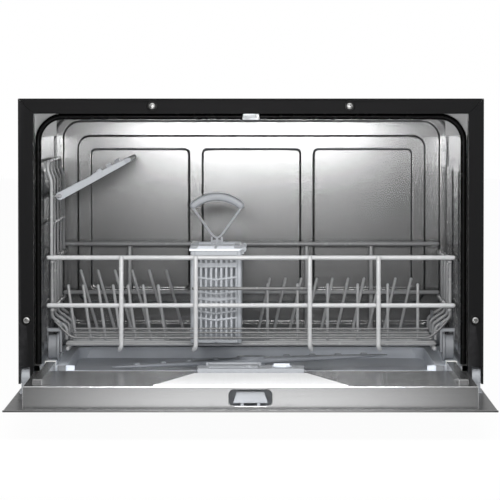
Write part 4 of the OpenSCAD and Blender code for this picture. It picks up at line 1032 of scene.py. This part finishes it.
class DISHWASHER_OT_cutlery(bpy.types.Operator):
    """Builds the cutlery basket's lattice and its arched handle and finishes its lids"""

    bl_idname = "dishwasher.cutlery"
    bl_label = "Cutlery basket"

    def execute(self, context):
        # the lids take a lighter copy of the pale plastic: painted light from above
        dress_all(("cutlery_lid_front cutlery_lid_rear", "light", 0.0006))
        self.handle()
        self.lattice()
        return {"FINISHED"}

    def handle(self):
        """An arched grip on a thin bow that stands on a bracket between the two lids."""
        x, y = CUTLERY_X, 206.0
        bm = bmesh.new()
        self.grip(bm, x, y)
        self.bow(bm, x, y)
        for low, high, top in ((-8.2, -6.0, 226.0), (-1.6, 1.6, 225.2), (5.0, 8.2, 226.0)):
            block(bm, (x + low, y - 4, 215), (x + high, y + 4, top))
        block(bm, (x - 8.2, y - 1.5, 217), (x + 8.2, y + 1.5, 222))
        block(bm, (x - 35, y - 6, 211.9), (x + 35, y + 6, 215.6))
        for side in (-1, 1):
            block(bm, (x + side * 33.3, y - 6, 204), (x + side * 35, y + 6, 212.5))
        handle = finish_piece("arched_handle", bm, "cutlery", "pale", ["cutlery_handle"],
                              smooth=50)
        soften(handle, 0.0003, 2, 50)

    @staticmethod
    def grip(bm, x, y):
        """The thick arch, thinner towards its rounded ends."""
        middle, radius, spread, steps = 231.0, 48.2, 46, 36
        rings = []
        for k in range(steps + 1):
            share = -1 + 2 * k / steps
            a = math.radians(90 - spread * share)
            tip = taper(abs(share), 0.9)
            tall, deep = 5.5 - 0.9 * share * share, 6.0
            tall, deep = tall * (0.3 + 0.7 * tip), deep * (0.5 + 0.5 * tip)
            ring = []
            for t in around(20):
                out = radius + swell(math.sin(t), 0.6) * tall
                away = swell(math.cos(t), 0.6) * deep
                ring.append(bm.verts.new(at(x + out * math.cos(a), y + away, middle + out * math.sin(a))))
            rings.append(ring)
        skin(bm, rings)

    @staticmethod
    def bow(bm, x, y):
        """The flat strip that joins the grip's two ends to the bracket."""
        half, deep = 1.15, 4.5
        ends, foot = ((-32.4, 265.5), (32.4, 265.5)), (0, 219.5)
        path = rounded_path([Vector((offset, 0, z)) for offset, z in (ends[0], foot, ends[1])], 14)
        rings = []
        for i, p in enumerate(path):
            ahead = (path[min(i + 1, len(path) - 1)] - path[max(i - 1, 0)]).normalized()
            n = Vector((-ahead.z, 0, ahead.x)) * half
            rings.append([bm.verts.new(at(x + p.x + n.x * s, y + d, p.z + n.z * s))
                          for s, d in ((-1, -deep), (1, -deep), (1, deep), (-1, deep))])
        skin(bm, rings)

    @staticmethod
    def chevron(bm, x, reach, y, depth, z):
        """One half of a rib that drops to the middle of an end wall."""
        drop, high = 3.6, 2.6
        outline = [(0, z - drop), (reach, z), (reach, z - high), (0, z - drop - high)]
        prism(bm, *[[at(x + dx, away, h) for dx, h in outline] for away in (y - 0.1, y + depth)])

    def lattice(self):
        bm = bmesh.new()
        x, near, far, low, top = CUTLERY_X, 81.0, 331.0, 92.6, 211.6
        half, t = 33.0, 2.0
        # end walls: upright bars, straight bands and chevron ribs
        for y in (near, far - t):
            for i in range(9):
                bar = x - half + 5.2 + i * 6.6
                block(bm, (bar, y + 0.8, low + 1), (bar + 3.0, y + t - 0.2, top - 2))
            for z, high in ((low, 4), (low + 56, 3), (low + 98, 6), (top - 5, 5)):
                block(bm, (x - half, y, z), (x + half, y + t, z + high))
            for z in (127.2, 135.8, 152.5, 161.1, 179.7, 198.0):
                for side in (-1, 1):
                    self.chevron(bm, x, side * (half - 4), y, t, z)
        # long walls
        for wall in (x - half, x + half - t):
            for i in range(35):
                bar = near + 6 + i * 6.9
                block(bm, (wall + 0.4, bar, low + 1), (wall + t - 0.4, bar + 3, top - 2))
            for z, high in ((low, 4), (low + 24, 2.4), (low + 44, 2.4), (low + 66, 2.4), (low + 98, 6),
                            (top - 5, 5)):
                block(bm, (wall, near, z), (wall + t, far, z + high))
        # floor, dividers and corner pillars
        for i in range(33):
            block(bm, (x - half + t, near + 5 + i * 7.4, low), (x + half - t, near + 8.4 + i * 7.4, low + 2))
        block(bm, (x - 2, near, low), (x + 2, far, low + 1.8))
        for i in (1, 2, 3):
            y = near + i * 62.5
            block(bm, (x - half + t, y - 1, low + 2), (x + half - t, y + 1, top - 14))
        pillar = [(0, 0), (0, 0.003), (0.0006, 0.0034), (0.1184, 0.0034), (0.119, 0.003), (0.119, 0)]
        for side in (-1, 1):
            for y in (near + 1.6, far - 1.6):
                add_lathe(bm, at(x + side * 30, y, low), (0, 0, 1), pillar, 20)
        # lugs that carry the lids' pins
        lug_x, lug_z = -8.9, 213.5
        lug = [(0, 0), (0, 0.0028), (0.0003, 0.003), (0.0017, 0.003), (0.002, 0.0028), (0.002, 0)]
        for first in (81.0, 214.0):
            for y in (first + 5.6, first + 38.4):
                block(bm, (x + half - 1, y, top - 4), (lug_x, y + 2, lug_z))
                add_lathe(bm, at(lug_x, y, lug_z), (0, 1, 0), lug, 20)
        basket = finish_piece("cutlery_lattice", bm, "cutlery", "pale", ["cutlery_body"])
        soften(basket, 0.0004, 1)


# ---- spray arm ----


class DISHWASHER_OT_spray_arm(bpy.types.Operator):
    """Blows up the hollow spray arm with its hub and jets"""

    bl_idname = "dishwasher.spray_arm"
    bl_label = "Spray arm"

    @staticmethod
    def on_arm(s, across, z):
        """A point given on the parked arm: s along it, across it, and its height."""
        ahead, aside = math.cos(ARM_PARK), math.sin(ARM_PARK)
        return at(s * ahead - across * aside, ARM_Y + s * aside + across * ahead, z)

    @staticmethod
    def lines(s):
        """Heights of the arm's underside and top at a distance s along it."""
        hub = 20
        under = 54.5 + (8 if s > 0 else 1.3) * s / 191
        if abs(s) < hub:
            return under, 65.0 + 0.5 * s / hub
        return under, 65.5 + 0.5 * (s - hub) / 171 if s > 0 else 64.5 + 8 * (s + hub) / 171

    def execute(self, context):
        reach = context.scene.dishwasher_sizes.arm_reach * 1000
        bm = bmesh.new()
        steps, rings = 40, []
        for k in range(steps + 1):
            s = -reach + 2 * reach * k / steps
            share = abs(s) / reach
            under, over = self.lines(s)
            tip = taper(share, 0.93)
            width = (19.0 - 10.5 * share ** 0.8) * (0.25 + 0.75 * tip)
            tall = ((over - under) / 2 - 0.3) * (0.45 + 0.55 * tip)
            rings.append([bm.verts.new(self.on_arm(s, swell(math.cos(a), 0.7) * width,
                                                   (under + over) / 2 + swell(math.sin(a), 0.62) * tall))
                          for a in around(24)])
        skin(bm, rings)
        hub = [(0, 0.0121), (0, 0.019), (0.001, 0.02), (0.0145, 0.02), (0.016, 0.0185), (0.016, 0.009),
               (0.0154, 0.008), (0.0154, 0)]
        add_lathe(bm, at(0, ARM_Y, 50), (0, 0, 1), hub, 40)
        jet = [(0, 0.0055), (0.002, 0.005), (0.0035, 0.0042), (0.004, 0.0034), (0.004, 0.0016),
               (0.003, 0.0014), (0.003, 0)]
        for side in (-1, 1):
            for s in (50, 86, 122, 158):
                place = self.on_arm(side * s, side * 3, self.lines(side * s)[1] - 2.2)
                add_lathe(bm, place, (0, 0, 1), jet, 24)
        finish_piece("blown_spray_arm", bm, "spray_arm", "arm", ["spray_arm"], smooth=45)
        return {"FINISHED"}


# ---- stage ----

# name, place, target, width, height, watts, and the rays that pass it by
LAMPS = (
    ("key_softbox", (0.0, -1.3, 2.3), (0, 0.1, 0.2), 2.4, 1.6, 20, None),
    ("front_softbox", (0.0, -4.6, 0.75), (0, 0, 0.15), 3.0, 0.9, 36, "visible_glossy"),
    ("tub_fill", (0.0, -0.95, 0.55), (0.0, 0.25, 0.08), 1.2, 0.3, 9, "visible_glossy"),
    ("tub_glow", (0.0, -1.0, 0.39), (0.0, 0.35, 0.38), 0.4, 0.06, 2.4, "visible_diffuse"),
)
# name, half width, depth and height of both long edges, and its level far aside and in the middle,
# with the half width of that middle
CARDS = (
    ("front_flag", 5, (-6.4, 0), (-6.4, 2.6), 0.12, 0.3, 0.7),
    ("rear_flag", 5, (2.6, 0), (2.6, 1.6), 0.3, 0.35, 0.7),
    ("far_floor_flag", 5, (-6.4, 0.004), (-1.3, 0.004), 0.04, 0.1, 0.3),
    ("near_floor_card", 3, (-1.3, 0.004), (-0.47, 0.004), 0.0, 1.8, 0.22),
)
CAMERA_PLACE, CAMERA_AHEAD = (9.07, -5300, 423.4), (-8 / 4150, 1, -162 / 4150)
FILM_WIDTH, LENS = 36, 298.8


def shown_rays(tree):
    """1 for what the camera, a reflection or clear material sees, and 0 for light on the object."""
    ray = add(tree, "ShaderNodeLightPath").outputs
    seen = maths(tree, "MAXIMUM", ray["Is Camera Ray"], ray["Is Glossy Ray"])
    return maths(tree, "MAXIMUM", seen, ray["Is Transmission Ray"])


def stage_sheet(name, corners):
    """A flat sheet of the stage, with the tree of its material and where its shader goes."""
    bm = bmesh.new()
    bm.faces.new([bm.verts.new(p) for p in corners])
    mesh = bpy.data.meshes.new(name)
    bm.to_mesh(mesh)
    bm.free()
    made = bpy.data.materials.new(name)
    made.use_nodes = True
    made.node_tree.nodes.clear()
    mesh.materials.append(made)
    thing = bpy.data.objects.new(name, mesh)
    bpy.context.scene.collection.objects.link(thing)
    return thing, made.node_tree, made.node_tree.nodes.new("ShaderNodeOutputMaterial").inputs["Surface"]


def place_towards(name, data, place, ahead):
    thing = bpy.data.objects.new(name, data)
    thing.location = place
    thing.rotation_mode = "QUATERNION"
    thing.rotation_quaternion = Vector(ahead).to_track_quat("-Z", "Y")
    bpy.context.scene.collection.objects.link(thing)
    return thing


class DISHWASHER_OT_stage(bpy.types.Operator):
    """Sets the floor, the lamps, the world and the camera"""

    bl_idname = "dishwasher.stage"
    bl_label = "Stage"

    def execute(self, context):
        scene = context.scene
        scene.view_settings.view_transform = "Standard"
        self.floor()
        self.world(scene)
        for lamp in LAMPS:
            self.lamp(*lamp)
        for card in CARDS:
            self.card(*card)
        self.camera(scene)
        return {"FINISHED"}

    def floor(self):
        """A pale floor that looks white and still keeps the object's shadow."""
        _, tree, out = stage_sheet("pale_floor", ((-12, -12, 0), (12, -12, 0), (12, 14, 0), (-12, 14, 0)))
        matt = add(tree, "ShaderNodeBsdfDiffuse", {"Color": (0.95, 0.95, 0.95, 1)})
        glow = add(tree, "ShaderNodeEmission", {"Color": (1, 1, 1, 1), "Strength": 1.0})
        share = maths(tree, "MULTIPLY", shown_rays(tree), 0.96)
        both = add(tree, "ShaderNodeMixShader", {0: share, 1: matt.outputs[0], 2: glow.outputs[0]})
        tree.links.new(both.outputs[0], out)

    def world(self, scene):
        world = bpy.data.worlds.new("studio")
        scene.world = world
        world.use_nodes = True
        tree = world.node_tree
        back = tree.nodes["Background"]
        back.inputs["Color"].default_value = (1, 1, 1, 1)
        tree.links.new(remap(tree, shown_rays(tree), 0.0, 1.0, 0.5, 1.0), back.inputs["Strength"])

    def lamp(self, name, place, target, width, height, watts, passed_by):
        data = bpy.data.lights.new(name, "AREA")
        data.shape = "RECTANGLE"
        data.size, data.size_y = width, height
        data.energy = watts
        thing = place_towards(name, data, place, Vector(target) - Vector(place))
        thing.visible_camera = False
        if passed_by:
            setattr(thing, passed_by, False)

    def card(self, name, half, first, last, dark, bright, reach):
        """A card that only reflections show: bright in the middle, dark beyond reach."""
        thing, tree, out = stage_sheet(name, ((-half, *first), (half, *first), (half, *last), (-half, *last)))
        axes = add(tree, "ShaderNodeSeparateXYZ", {0: own_space(tree)})
        aside = maths(tree, "ABSOLUTE", axes.outputs[0])
        level = remap(tree, aside, reach * 0.25, reach * 1.75, bright, dark, interpolation_type="SMOOTHSTEP")
        glow = add(tree, "ShaderNodeEmission", {"Strength": level})
        tree.links.new(glow.outputs[0], out)
        for ray in ("camera", "diffuse", "shadow", "transmission"):
            setattr(thing, "visible_" + ray, False)

    def camera(self, scene):
        data = bpy.data.cameras.new("camera")
        data.sensor_width = FILM_WIDTH
        data.lens = LENS
        data.clip_start, data.clip_end = 0.1, 100
        scene.camera = place_towards("camera", data, at(*CAMERA_PLACE), CAMERA_AHEAD)


# ---- add-on ----

PIECES = (DISHWASHER_OT_case, DISHWASHER_OT_tub, DISHWASHER_OT_door, DISHWASHER_OT_basket,
          DISHWASHER_OT_wheels, DISHWASHER_OT_shelf, DISHWASHER_OT_cutlery, DISHWASHER_OT_spray_arm,
          DISHWASHER_OT_stage)


class DISHWASHER_PT_panel(bpy.types.Panel):
    """Lists the pieces with their sizes and colours"""

    bl_idname = "DISHWASHER_PT_panel"
    bl_label = "Dishwasher"
    bl_space_type = "VIEW_3D"
    bl_region_type = "UI"
    bl_category = "Dishwasher"

    def draw(self, context):
        for piece in PIECES:
            self.layout.operator(piece.bl_idname)
        for group in (context.scene.dishwasher_sizes, context.scene.dishwasher_colours):
            box = self.layout.box()
            for name in group.__annotations__:
                box.prop(group, name)


CLASSES = (DishwasherSizes, DishwasherColours) + PIECES + (DISHWASHER_PT_panel,)


def register():
    for made in CLASSES:
        bpy.utils.register_class(made)
    bpy.types.Scene.dishwasher_sizes = PointerProperty(type=DishwasherSizes)
    bpy.types.Scene.dishwasher_colours = PointerProperty(type=DishwasherColours)


def unregister():
    del bpy.types.Scene.dishwasher_colours
    del bpy.types.Scene.dishwasher_sizes
    for made in reversed(CLASSES):
        bpy.utils.unregister_class(made)


def main():
    register()
    make_finishes(bpy.context.scene.dishwasher_colours)
    for piece in PIECES:
        family, name = piece.bl_idname.split(".")
        getattr(getattr(bpy.ops, family), name)()


if __name__ == "__main__":
    main()
